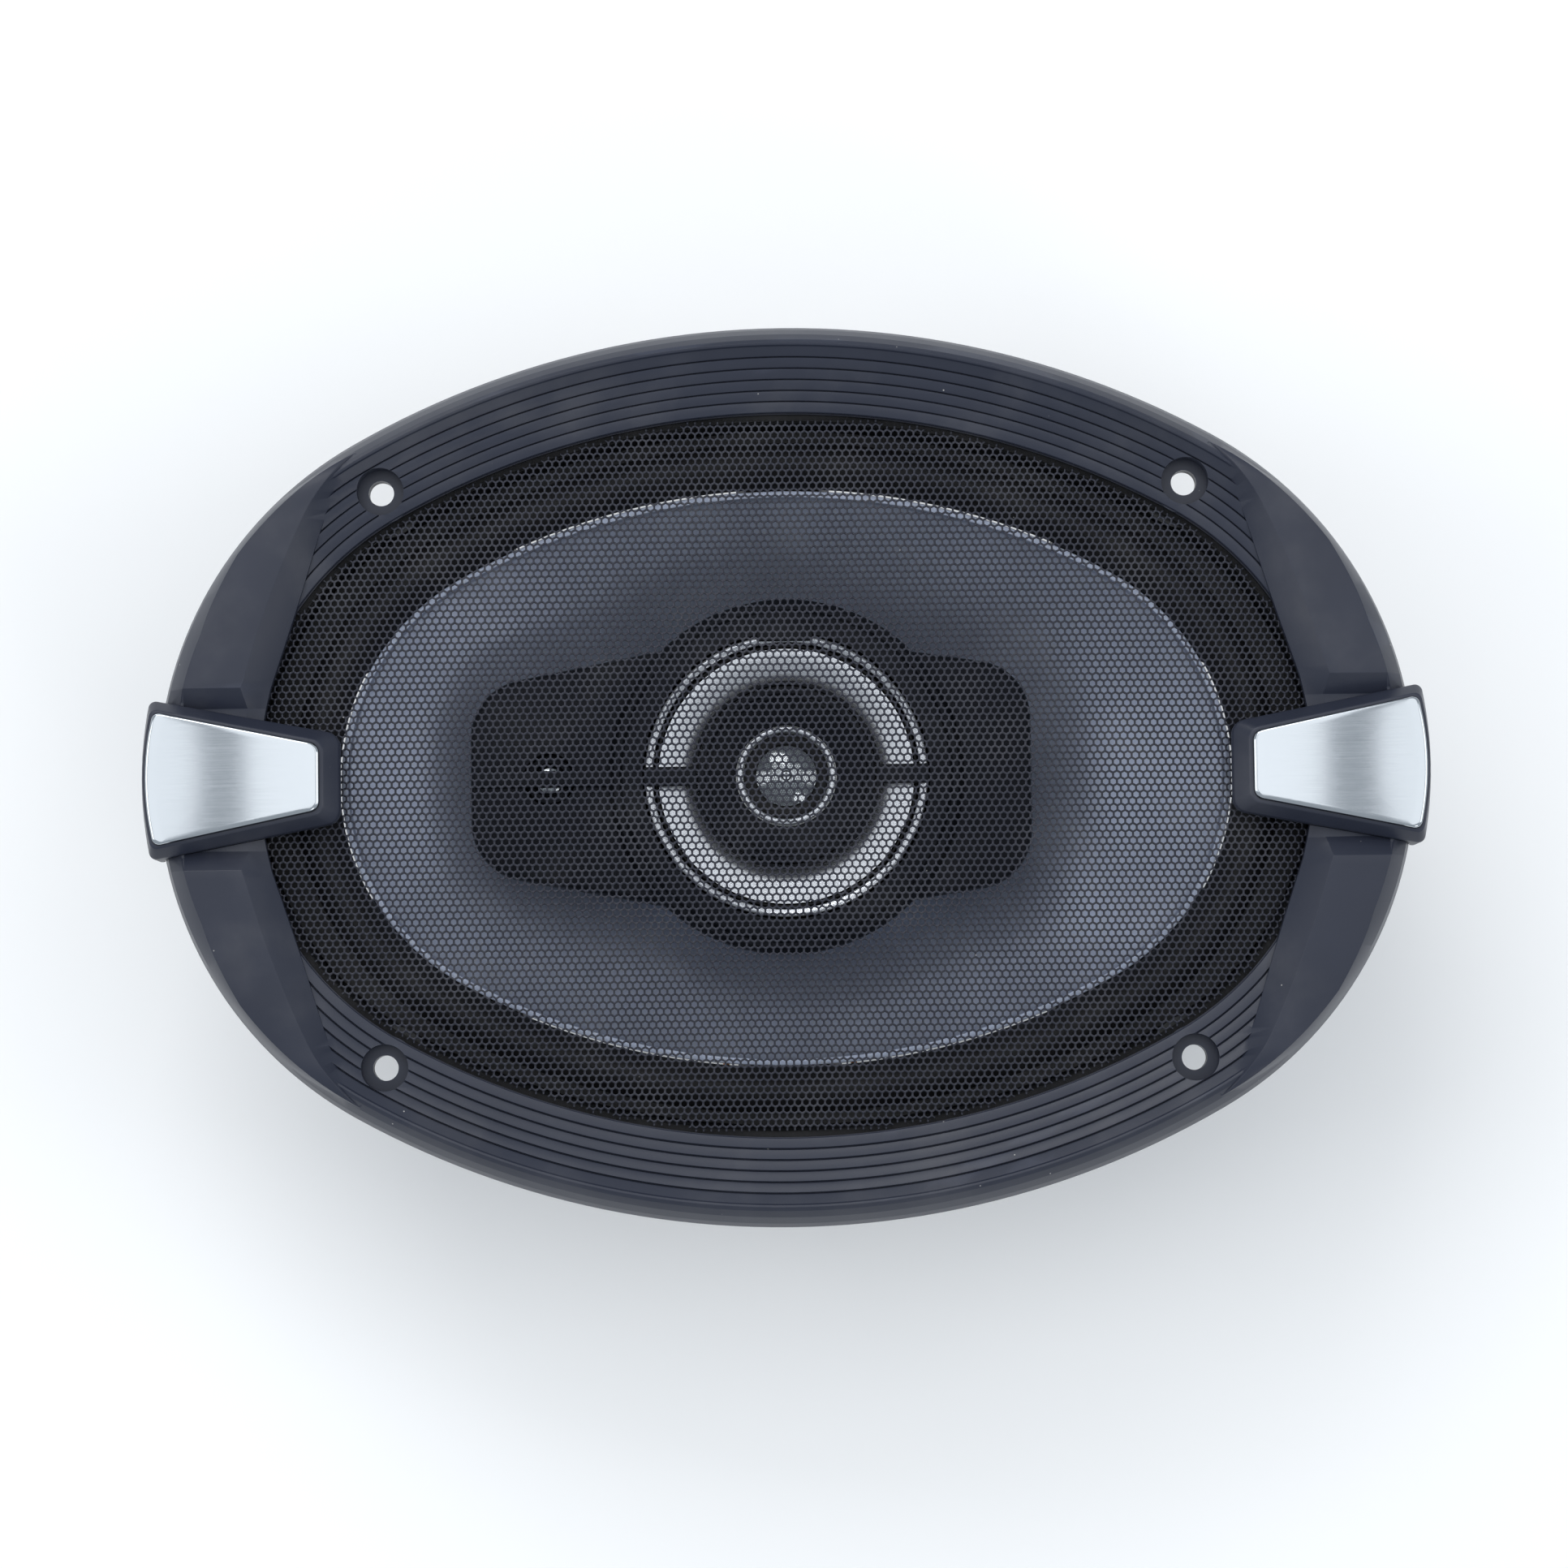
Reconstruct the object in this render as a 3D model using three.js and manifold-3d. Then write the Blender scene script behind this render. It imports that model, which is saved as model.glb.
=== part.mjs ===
// A six-by-nine inch coaxial car speaker with its clip-on grille, standing on its magnet, face up.
// Millimetres. X runs along the oval's length, Y across it and Z out of the speaker's face.
// The origin is the middle of the back plate's flat rear face.
import * as THREE from "three";
import { mergeVertices } from "three/addons/utils/BufferGeometryUtils.js";
import Module from "manifold-3d";

const wasm = await Module();
wasm.setup();

// ---------------------------------------------------------------- Driving dimensions

const GAP = 0.3; // between two pieces that touch
const ARC_TURN = THREE.MathUtils.degToRad(60.6); // every oval's end arc turns this far each way
const END_STEPS = 6; // steps in half an end arc
const SIDE_STEPS = 6; // steps in half a side arc

const TRIM_OVAL = [129, 92.5]; // half length and half width of the grille's trim ring
const FLANGE_Z = 80; // rear of the mounting flange, which meets the car's panel
const SHEET = 1.5; // basket steel
const SCREW_PLACES = [82.5, 59]; // mounting screws, each way from the middle
const SCREW_HOLE = 2.6; // radius
const COUNTERBORE = 4.8; // radius
const BOSS = { radius: 6.6, screwSeat: 84, top: 87 }; // under each screw, in the trim ring
const RIB_WIDTH = 2.25;
const RIB_GROOVE = 0.35; // width of the step up to the next rib
const RIB_DROPS = [1.0, 0.9, 0.75, 0.6, 0.5, 0.4]; // fall of each rib, from the rim inwards
const RIB_STEP_UP = 0.35; // rise to the next rib
const RIDGE = { inset: 4.4, z: 89.7 };
const MESH_EDGE = { inset: 17.1, z: 84.0 };
const MESH_THICKNESS = 0.8;
const MESH_RISE = 5.4; // how far the grille's middle stands above its edge

const CONE_OVAL = [91.9, 59.5];
const CONE_NECK = { r: 13.4, z: 38 };
const CONE_EDGE_Z = 75;
const CONE_THICKNESS = 0.8;
const LANDING_Z = 75.5; // basket ledge that the cone's surround is glued to
const LEDGE_Z = 35.1; // basket ledge that the spider is glued to

const MAGNET = { outer: 45, inner: 28, bottom: 6.3, top: 21.3 };
const TOP_PLATE = { outer: 43, inner: 14, bottom: 21.6, top: 26.6 };
const POLE_RADIUS = 12.3;
const BACK_PLATE = 6; // thickness
const RIVETS = { count: 4, circle: 34, shank: 1.8, head: 3.4 };
const COIL = { former: [12.6, 12.9], winding: [13.2, 13.7] };

const POD_DISC = 36.6; // radius
const POD_WINGS = { left: -65.1, right: 50.6, bottom: 72, top: 78 };
const SUPER_TWEETER_X = -48.9;
const WELL_RADIUS = 5.4; // recess that the super tweeter sits in

// ---------------------------------------------------------------- Materials

function finish(color, roughness, metalness) {
  return new THREE.MeshStandardMaterial({ color, roughness, metalness });
}
const BLACK_PLASTIC = finish(0x2b2e36, 0.45, 0);
const MATTE_PLASTIC = finish(0x1c1d22, 0.6, 0);
const BLACK_STEEL = finish(0x24262b, 0.45, 0.3);
const MESH_STEEL = finish(0x26272c, 0.5, 0.4);
const BRIGHT_METAL = finish(0xd5d9de, 0.18, 1);
const PLATED_STEEL = finish(0xa9adb2, 0.35, 1);
const FERRITE = finish(0x35363a, 0.7, 0);
const MICA_CONE = finish(0x6f747d, 0.5, 0.1);
const RUBBER = finish(0x141416, 0.7, 0);
const CLOTH = finish(0xb98a3c, 0.9, 0);
const KAPTON = finish(0x7a4a1c, 0.5, 0);
const COPPER = finish(0xb5662f, 0.35, 1);
const BRASS = finish(0xc7a04a, 0.3, 1);
const FIBREBOARD = finish(0x4a3324, 0.8, 0);
const FOAM = finish(0x18181a, 0.95, 0);

// ---------------------------------------------------------------- Closed geometry and booleans

// Merges shared corners, drops empty faces and turns the faces outwards.
function closed(geometry) {
  geometry.deleteAttribute("normal");
  geometry.deleteAttribute("uv");
  const merged = mergeVertices(geometry, 1e-4);
  const at = merged.attributes.position;
  const kept = [];
  const [a, b, c] = [new THREE.Vector3(), new THREE.Vector3(), new THREE.Vector3()];
  let volume = 0;
  for (let i = 0; i < merged.index.count; i += 3) {
    const [p, q, r] = [0, 1, 2].map((k) => merged.index.getX(i + k));
    if (p === q || q === r || r === p) continue;
    kept.push(p, q, r);
    a.fromBufferAttribute(at, p);
    b.fromBufferAttribute(at, q);
    c.fromBufferAttribute(at, r);
    volume += a.dot(b.cross(c));
  }
  merged.setIndex(volume < 0 ? kept.reverse() : kept);
  return merged;
}

function solid(geometry) {
  return new wasm.Manifold(
    new wasm.Mesh({
      numProp: 3,
      vertProperties: new Float32Array(geometry.attributes.position.array),
      triVerts: new Uint32Array(geometry.index.array),
    }),
  );
}

function geometryOf(made) {
  const { vertProperties, triVerts } = made.getMesh();
  return new THREE.BufferGeometry()
    .setAttribute("position", new THREE.BufferAttribute(vertProperties, 3))
    .setIndex(new THREE.BufferAttribute(triVerts, 1));
}

function join(first, ...others) {
  return geometryOf(others.reduce((sum, other) => sum.add(solid(other)), solid(first)));
}

function cut(first, ...others) {
  return geometryOf(others.reduce((rest, other) => rest.subtract(solid(other)), solid(first)));
}

function moved(geometry, x, y, z = 0) {
  return geometry.clone().translate(x, y, z);
}

function mirrored(geometry, x, y) {
  return closed(geometry.clone().scale(x, y, 1));
}

// ---------------------------------------------------------------- Shapes

// A four-arc oval. Its point at each turn of the outward normal is linear in its sizes,
// so two ovals blend into a third, and a circle is an oval with equal halves.
function oval(halfLength, halfWidth) {
  const spread = 1 + Math.tan(ARC_TURN) - 1 / Math.cos(ARC_TURN);
  const endX = (halfLength - halfWidth) / spread;
  const endRadius = halfLength - endX;
  const sideY = endX * Math.tan(ARC_TURN);
  return { endX, endRadius, sideY, sideRadius: halfWidth + sideY };
}

function ovalPoint({ endX, endRadius, sideY, sideRadius }, turn) {
  const [x, y] = [Math.cos(turn), Math.sin(turn)];
  const onEnd = Math.abs(y) <= Math.sin(ARC_TURN) + 1e-9;
  return onEnd
    ? new THREE.Vector2(Math.sign(x) * endX + endRadius * x, endRadius * y)
    : new THREE.Vector2(sideRadius * x, sideRadius * y - Math.sign(y) * sideY);
}

// The turns of the normal at which every oval is sampled, once round.
const TURNS = [];
for (let quarter = 0; quarter < 4; quarter++) {
  const steps = END_STEPS + SIDE_STEPS;
  for (let i = 0; i < steps; i++) {
    const j = quarter % 2 ? steps - i : i;
    const onSide = (j - END_STEPS) / SIDE_STEPS;
    const share =
      j < END_STEPS ? (j / END_STEPS) * ARC_TURN : ARC_TURN + onSide * (Math.PI / 2 - ARC_TURN);
    TURNS.push(quarter % 2 ? (quarter + 1) * (Math.PI / 2) - share : quarter * (Math.PI / 2) + share);
  }
}

function ovalOutline(sizes, growth = 0) {
  const made = oval(sizes[0] + growth, sizes[1] + growth);
  return TURNS.map((turn) => ovalPoint(made, turn));
}

// X of the trim ring's outline at a given Y on its end arc or side arc.
function trimX(y) {
  const { endX, endRadius, sideY, sideRadius } = oval(...TRIM_OVAL);
  return y < endRadius * Math.sin(ARC_TURN)
    ? endX + Math.sqrt(endRadius ** 2 - y ** 2)
    : Math.sqrt(sideRadius ** 2 - (y + sideY) ** 2);
}

// Rounds the corners of a closed outline of [x, y, radius] corners.
function rounded(corners, steps = 4) {
  const points = [];
  corners.forEach(([x, y, radius = 0], i) => {
    const here = new THREE.Vector2(x, y);
    if (!radius) {
      points.push(here);
      return;
    }
    const [fromX, fromY] = corners.at(i - 1);
    const [toX, toY] = corners[(i + 1) % corners.length];
    const back = new THREE.Vector2(fromX, fromY).sub(here).normalize();
    const ahead = new THREE.Vector2(toX, toY).sub(here).normalize();
    const half = Math.acos(back.dot(ahead)) / 2;
    const inwards = back.clone().add(ahead).normalize();
    const centre = here.clone().addScaledVector(inwards, radius / Math.sin(half));
    const start = here.clone().addScaledVector(back, radius / Math.tan(half));
    const way = Math.sign(back.cross(ahead));
    for (let k = 0; k <= steps; k++) {
      const turn = (-way * k * (Math.PI - 2 * half)) / steps;
      points.push(start.clone().rotateAround(centre, turn));
    }
  });
  return points;
}

// A closed skin through rings of points, capped at both ends or closed on itself.
function skin(rings, capped) {
  const n = rings[0].length;
  const positions = rings.flatMap((ring) => ring.flatMap((p) => [p.x, p.y, p.z]));
  const faces = [];
  const bands = capped ? rings.length - 1 : rings.length;
  for (let i = 0; i < bands; i++) {
    const next = ((i + 1) % rings.length) * n;
    for (let j = 0; j < n; j++) {
      const [a, b] = [i * n + j, i * n + ((j + 1) % n)];
      const [c, d] = [next + ((j + 1) % n), next + j];
      faces.push(a, b, c, a, c, d);
    }
  }
  if (capped) {
    const flat = (ring) => ring.map((p) => new THREE.Vector2(p.x, p.y));
    for (const [a, b, c] of THREE.ShapeUtils.triangulateShape(flat(rings[0]), [])) {
      faces.push(b, a, c);
    }
    const last = (rings.length - 1) * n;
    for (const [a, b, c] of THREE.ShapeUtils.triangulateShape(flat(rings.at(-1)), [])) {
      faces.push(last + a, last + b, last + c);
    }
  }
  const made = new THREE.BufferGeometry();
  made.setAttribute("position", new THREE.Float32BufferAttribute(positions, 3));
  made.setIndex(faces);
  return closed(made);
}

function atHeight(outline, z) {
  return outline.map((p) => new THREE.Vector3(p.x, p.y, z));
}

// A solid between outlines of equal count, each given as [outline, z].
function stack(...levels) {
  return skin(levels.map(([outline, z]) => atHeight(outline, z)), true);
}

// An oval hoop whose cross-section is a closed list of [half length, half width, z].
function hoop(section) {
  return skin(section.map(([a, b, z]) => atHeight(ovalOutline([a, b]), z)), false);
}

// An oval plate that covers the middle: its section runs from the axis out and back to the axis.
function dish(section) {
  return skin(section.map(([a, b, z]) => atHeight(ovalOutline([a, b]), z)), true);
}

function prism(outline, bottom, top) {
  const shape = new THREE.Shape(outline);
  const made = new THREE.ExtrudeGeometry(shape, { depth: top - bottom, bevelEnabled: false });
  return closed(made.translate(0, 0, bottom));
}

function box(x0, x1, y0, y1, z0, z1) {
  const made = new THREE.BoxGeometry(x1 - x0, y1 - y0, z1 - z0);
  return closed(made.translate((x0 + x1) / 2, (y0 + y1) / 2, (z0 + z1) / 2));
}

// Turns a section of [r, z] about Z. A section that doesn't touch the axis is closed on itself.
function turned(section, segments = 28) {
  const open = section[0][0] > 0 ? [...section, section[0]] : section;
  const points = open.map(([r, z]) => new THREE.Vector2(r, z));
  return closed(new THREE.LatheGeometry(points, segments).rotateX(Math.PI / 2));
}

function drum(radius, bottom, top, segments = 16) {
  return turned([[0, bottom], [radius, bottom], [radius, top], [0, top]], segments);
}

function washer(inner, outer, bottom, top, segments = 28) {
  return turned([[inner, bottom], [outer, bottom], [outer, top], [inner, top]], segments);
}

function wire(points, radius, steps) {
  const path = new THREE.CatmullRomCurve3(points.map((p) => new THREE.Vector3(...p)));
  const section = new THREE.Shape().absarc(0, 0, radius, 0, 2 * Math.PI);
  const made = new THREE.ExtrudeGeometry(section, { extrudePath: path, steps, curveSegments: 4 });
  return closed(made);
}

// ---------------------------------------------------------------- The scene graph

const speaker = new THREE.Group();
const motor = new THREE.Group();
const chassis = new THREE.Group();
const moving = new THREE.Group();
const pod = new THREE.Group();
const grille = new THREE.Group();
speaker.add(motor, chassis, moving, pod, grille);

function piece(group, name, geometry, material) {
  geometry.computeVertexNormals();
  const mesh = new THREE.Mesh(geometry, material.clone());
  mesh.name = name;
  group.add(mesh);
}

// ---------------------------------------------------------------- Motor: magnet, plates and fixings

function around(count, circle, first, build) {
  for (let i = 0; i < count; i++) {
    const turn = first + (i * 2 * Math.PI) / count;
    build(i, circle * Math.cos(turn), circle * Math.sin(turn));
  }
}

function makeBackPlate() {
  const [edge, screwRecess, screwBore] = [1.2, 6.5, 2.6];
  const section = [
    [screwBore, 3],
    [screwRecess, 3],
    [screwRecess, 0],
    [MAGNET.outer - edge, 0],
    [MAGNET.outer, edge],
    [MAGNET.outer, BACK_PLATE - edge],
    [MAGNET.outer - edge, BACK_PLATE],
    [POLE_RADIUS + 0.8, BACK_PLATE],
    [POLE_RADIUS, BACK_PLATE + 0.8],
    [POLE_RADIUS, TOP_PLATE.top - 0.8],
    [POLE_RADIUS - 0.8, TOP_PLATE.top],
    [screwBore, TOP_PLATE.top],
  ];
  piece(motor, "back_plate_with_pole", turned(section, 32), BLACK_STEEL);
}

function makeMagnet() {
  const { outer, inner, bottom, top } = MAGNET;
  const edge = 1.5;
  const section = [
    [inner, bottom],
    [outer - edge, bottom],
    [outer, bottom + edge],
    [outer, top - edge],
    [outer - edge, top],
    [inner, top],
  ];
  piece(motor, "ferrite_magnet", turned(section, 32), FERRITE);
}

function makeTopPlate() {
  const { outer, inner, bottom, top } = TOP_PLATE;
  const holes = [];
  around(RIVETS.count, RIVETS.circle, Math.PI / 4, (i, x, y) => {
    holes.push(moved(drum(RIVETS.shank + GAP, bottom - 1, top + 1, 10), x, y));
  });
  const section = [
    [inner, bottom],
    [outer, bottom],
    [outer, top - 1],
    [outer - 1, top],
    [inner, top],
  ];
  piece(motor, "top_plate", cut(turned(section, 32), ...holes), BLACK_STEEL);
}

function makeRivets() {
  const seat = TOP_PLATE.top + GAP + SHEET + GAP;
  const section = [
    [0, TOP_PLATE.bottom + 0.5],
    [RIVETS.shank, TOP_PLATE.bottom + 0.5],
    [RIVETS.shank, seat],
    [RIVETS.head, seat],
    [RIVETS.head * 0.8, seat + 1.1],
    [0, seat + 1.5],
  ];
  around(RIVETS.count, RIVETS.circle, Math.PI / 4, (i, x, y) => {
    piece(motor, "basket_rivet_" + (i + 1), moved(turned(section, 12), x, y), PLATED_STEEL);
  });
}

// ---------------------------------------------------------------- Basket

const BASKET_FOOT = TOP_PLATE.top + GAP;
const WALL_FOOT = [56, 54, 36.6]; // half length, half width and z of the flared wall's outer skin
const WALL_HEAD = [104, 69, LANDING_Z - SHEET - 0.2];
const FLANGE_OVAL = TRIM_OVAL.map((half) => half - 10.5);
const LANDING_OVAL = TRIM_OVAL.map((half) => half - 20.4);
const EAR_RADIUS = 9; // flange around each mounting screw

// A hole through the flared wall: a rounded trapezium swept out along a direction in the plan.
function windowCutter(degrees, top) {
  const [bottom, lowHalf, highHalf, corner] = [41, 18, 26, 5];
  const [from, to] = [30, 140]; // distances from the axis, inside and outside the wall
  const outline = rounded(
    [
      [-lowHalf, bottom, corner],
      [lowHalf, bottom, corner],
      [highHalf, top, corner],
      [-highHalf, top, corner],
    ],
    3,
  );
  const made = prism(outline, from, to); // along Z, then laid flat to run outwards
  made.rotateX(Math.PI / 2).rotateZ(Math.PI); // (x, y, z) to (x, z, y)
  return closed(made.rotateZ(THREE.MathUtils.degToRad(degrees - 90)));
}

function makeBasket() {
  const flangeTop = FLANGE_Z + SHEET;
  const section = [
    [20, 20, BASKET_FOOT],
    [41.5, 41.5, BASKET_FOOT],
    [45, 45, BASKET_FOOT + 2.6],
    [46, 46, LEDGE_Z - SHEET],
    [52.5, 52.5, LEDGE_Z - SHEET],
    WALL_FOOT,
    WALL_HEAD,
    [LANDING_OVAL[0] + 1.6, LANDING_OVAL[1] + 1.6, LANDING_Z - SHEET],
    [LANDING_OVAL[0] + 2.2, LANDING_OVAL[1] + 2.2, FLANGE_Z],
    [...FLANGE_OVAL, FLANGE_Z],
    [...FLANGE_OVAL, flangeTop],
    [LANDING_OVAL[0] + 0.6, LANDING_OVAL[1] + 0.6, flangeTop],
    [...LANDING_OVAL, LANDING_Z],
    [WALL_HEAD[0] - 2, WALL_HEAD[1] - 2, LANDING_Z],
    [WALL_FOOT[0] - 2.1, WALL_FOOT[1] - 1.9, WALL_FOOT[2] + 1.6],
    [52, 52, LEDGE_Z],
    [44.6, 44.6, LEDGE_Z],
    [43.4, 43.4, BASKET_FOOT + 3],
    [40.8, 40.8, BASKET_FOOT + SHEET],
    [20, 20, BASKET_FOOT + SHEET],
  ];
  const [screwX, screwY] = SCREW_PLACES;
  const [ears, holes] = [[], []];
  for (const x of [-screwX, screwX]) {
    for (const y of [-screwY, screwY]) {
      ears.push(moved(drum(EAR_RADIUS, FLANGE_Z, flangeTop), x, y));
      holes.push(moved(drum(SCREW_HOLE, FLANGE_Z - 1, flangeTop + 1, 12), x, y));
    }
  }
  around(RIVETS.count, RIVETS.circle, Math.PI / 4, (i, x, y) => {
    holes.push(moved(drum(RIVETS.shank + GAP, BASKET_FOOT - 1, BASKET_FOOT + 3, 10), x, y));
  });
  const windows = [
    ...[0, 180].map((degrees) => windowCutter(degrees, 70)),
    ...[60, 120, 240, 300].map((degrees) => windowCutter(degrees, 69)),
  ];
  const made = cut(join(hoop(section), ...ears), ...holes, ...windows);
  piece(chassis, "basket", made, BLACK_STEEL);
}

function makeFrontGasket() {
  const bottom = FLANGE_Z + SHEET + GAP;
  const [a, b] = [LANDING_OVAL[0] + 0.8, LANDING_OVAL[1] + 0.8];
  const [width, height] = [2.6, 1.6];
  const section = [
    [a, b, bottom],
    [a + width, b + width, bottom],
    [a + width, b + width, bottom + height],
    [a, b, bottom + height],
  ];
  piece(chassis, "front_gasket", hoop(section), FOAM);
}

// ---------------------------------------------------------------- Terminals and wiring

const TERMINAL = { x: 15, outerY: -70, bottom: 45, top: 60, footX: 7, footY: -50 };
const BLADE = { z: 53, half: 0.4, length: 9.7, hole: 0.8 };

function makeTerminals() {
  const { x, outerY, bottom, top, footX, footY } = TERMINAL;
  const wall = stack(
    [ovalOutline(WALL_FOOT, 0.4), WALL_FOOT[2]],
    [ovalOutline(WALL_HEAD, 0.4), WALL_HEAD[2]],
  );
  const board = box(-x, x, outerY, outerY + 2, bottom, top);
  const foot = box(-footX, footX, outerY + 1, footY, bottom + 2, top - 2);
  piece(chassis, "terminal_board", cut(join(board, foot), wall), FIBREBOARD);
  const blades = [
    ["terminal_positive", 9, 3.15],
    ["terminal_negative", -9, 2.4],
  ];
  for (const [name, middle, half] of blades) {
    const near = outerY - GAP;
    const far = near - BLADE.length;
    const outline = rounded(
      [[middle - half, far, 1], [middle + half, far, 1], [middle + half, near], [middle - half, near]],
      2,
    );
    const hole = moved(drum(BLADE.hole, BLADE.z - 2, BLADE.z + 2, 8), middle, far + 3);
    const blade = prism(outline, BLADE.z - BLADE.half, BLADE.z + BLADE.half);
    piece(chassis, name, cut(blade, hole), BRASS);
  }
}

function makeCapacitor() {
  const [radius, half, y, z] = [5, 11, -62.2, 38.5];
  const section = [
    [0, -half],
    [radius - 0.8, -half],
    [radius, -half + 0.8],
    [radius, half - 0.8],
    [radius - 0.8, half],
    [0, half],
  ];
  const made = turned(section, 20).rotateY(Math.PI / 2).translate(0, y, z);
  piece(chassis, "crossover_capacitor", closed(made), MATTE_PLASTIC);
}

function makeTinselLeads() {
  const radius = 0.8;
  for (const [name, side] of [["tinsel_lead_positive", 1], ["tinsel_lead_negative", -1]]) {
    const route = [
      [13.4, -67.3, 57.5],
      [13.6, -63.5, 55],
      [13.4, -58, 49.5],
      [12.6, -50, 45.8],
      [11.2, -41, 45.6],
      [9.8, -33.5, 49.2],
    ];
    const made = wire(route.map(([x, y, z]) => [side * x, y, z]), radius, 14);
    piece(moving, name, made, COPPER);
  }
}

// ---------------------------------------------------------------- Cone, surround, spider and voice coil

// Z of the cone's front face at a share of the way from its neck to its edge.
function coneZ(share) {
  return CONE_NECK.z + (CONE_EDGE_Z - CONE_NECK.z) * share ** 0.93;
}

function makeCone() {
  const shares = [0, 0.2, 0.5, 1];
  const [lip, lipHeight] = [1.7, 0.8]; // flat edge that the surround is glued to
  const level = (share, fall) => [
    THREE.MathUtils.lerp(CONE_NECK.r, CONE_OVAL[0] - lip, share),
    THREE.MathUtils.lerp(CONE_NECK.r, CONE_OVAL[1] - lip, share),
    coneZ(share) - fall,
  ];
  const section = [
    ...shares.map((share) => level(share, 0)),
    [CONE_OVAL[0] - lip + 0.4, CONE_OVAL[1] - lip + 0.4, CONE_EDGE_Z + lipHeight],
    [...CONE_OVAL, CONE_EDGE_Z + lipHeight],
    [...CONE_OVAL, CONE_EDGE_Z - CONE_THICKNESS],
    ...shares.reverse().map((share) => level(share, CONE_THICKNESS)),
  ];
  piece(moving, "woofer_cone", hoop(section), MICA_CONE);
}

function makeSurround() {
  const [thickness, roll, width] = [0.7, 4.6, 9.6];
  const [a, b] = [CONE_OVAL[0] + GAP, CONE_OVAL[1] + GAP];
  const bottom = LANDING_Z + GAP;
  const over = (share, lift) => [
    a + width * share,
    b + width * share,
    bottom + lift + roll * Math.sin(Math.PI * share),
  ];
  const shares = [0, 0.2, 0.5, 0.8, 1];
  const flangeEdge = [LANDING_OVAL[0] - 0.4, LANDING_OVAL[1] - 0.4];
  const section = [
    ...shares.map((share) => over(share, thickness)),
    [...flangeEdge, bottom + thickness],
    [...flangeEdge, bottom],
    ...shares.reverse().map((share) => over(share, 0)),
  ];
  piece(moving, "cone_surround", hoop(section), RUBBER);
}

function makeSpider() {
  const [bottom, thickness, fold] = [LEDGE_Z + GAP, 0.7, 1.2];
  const folds = 2;
  const [inner, outer] = [18, 45];
  const [neck, edge] = [13.2, 51.6];
  const crests = [];
  for (let i = 0; i <= 2 * folds; i++) {
    const r = THREE.MathUtils.lerp(inner, outer, i / (2 * folds));
    crests.push([r, bottom + (i % 2 ? fold : 0)]);
  }
  const line = [[neck, bottom], ...crests, [edge, bottom]];
  const top = line.map(([r, z]) => [r, z + thickness]).reverse();
  piece(moving, "spider", turned([...line, ...top], 32), CLOTH);
}

function makeVoiceCoil() {
  const [formerIn, formerOut] = COIL.former;
  piece(moving, "voice_coil_former", washer(formerIn, formerOut, 18, 38.4), KAPTON);
  const [windingIn, windingOut] = COIL.winding;
  piece(moving, "voice_coil_winding", washer(windingIn, windingOut, 19, 29), COPPER);
  piece(moving, "dust_ring", washer(5.6, 12.9, 38.7, 40.7), FOAM);
}

// ---------------------------------------------------------------- Pod: midrange, tweeter and super tweeter

const POD = {
  floor: 63.5,
  seam: 71.7,
  rim: 81.2, // top of the disc's front face
  pocket: 29.6, // radius of the midrange's pocket
};

function makeStem() {
  const [bore, foot, top] = [2.3, TOP_PLATE.top + GAP, 65.4];
  const seat = POD.floor - GAP; // flat head that carries the rear cover
  const section = [
    [0, 44],
    [bore, 42],
    [bore, foot],
    [8, foot],
    [8, foot + 2.5],
    [5, foot + 4],
    [5, seat - 2],
    [9, seat - 1],
    [9, seat],
    [4.6, seat],
    [4.6, top],
    [0, top],
  ];
  piece(pod, "pod_stem", turned(section, 16), BLACK_STEEL);
  const screw = [
    [0, 0.5],
    [4.2, 0.5],
    [4.8, 1.2],
    [4.8, 2.7],
    [2, 2.7],
    [2, 40],
    [0, 41],
  ];
  const slots = [box(-0.5, 0.5, -3, 3, 0, 1.3), box(-3, 3, -0.5, 0.5, 0, 1.3)];
  piece(pod, "pod_screw", cut(turned(screw, 16), ...slots), PLATED_STEEL);
}

function makePodRearCover() {
  const rim = POD_DISC - 1;
  const section = [
    [4.9, POD.floor],
    [24, POD.floor + 0.6],
    [rim - 3, POD.floor + 3.6],
    [rim, POD.floor + 6.6],
    [rim, POD.seam],
    [rim - 2, POD.seam],
    [rim - 2, POD.floor + 7.2],
    [rim - 4.2, POD.floor + 5],
    [23.5, POD.floor + 2.4],
    [4.9, POD.floor + 1.7],
  ];
  piece(pod, "pod_rear_cover", turned(section), MATTE_PLASTIC);
}

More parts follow.
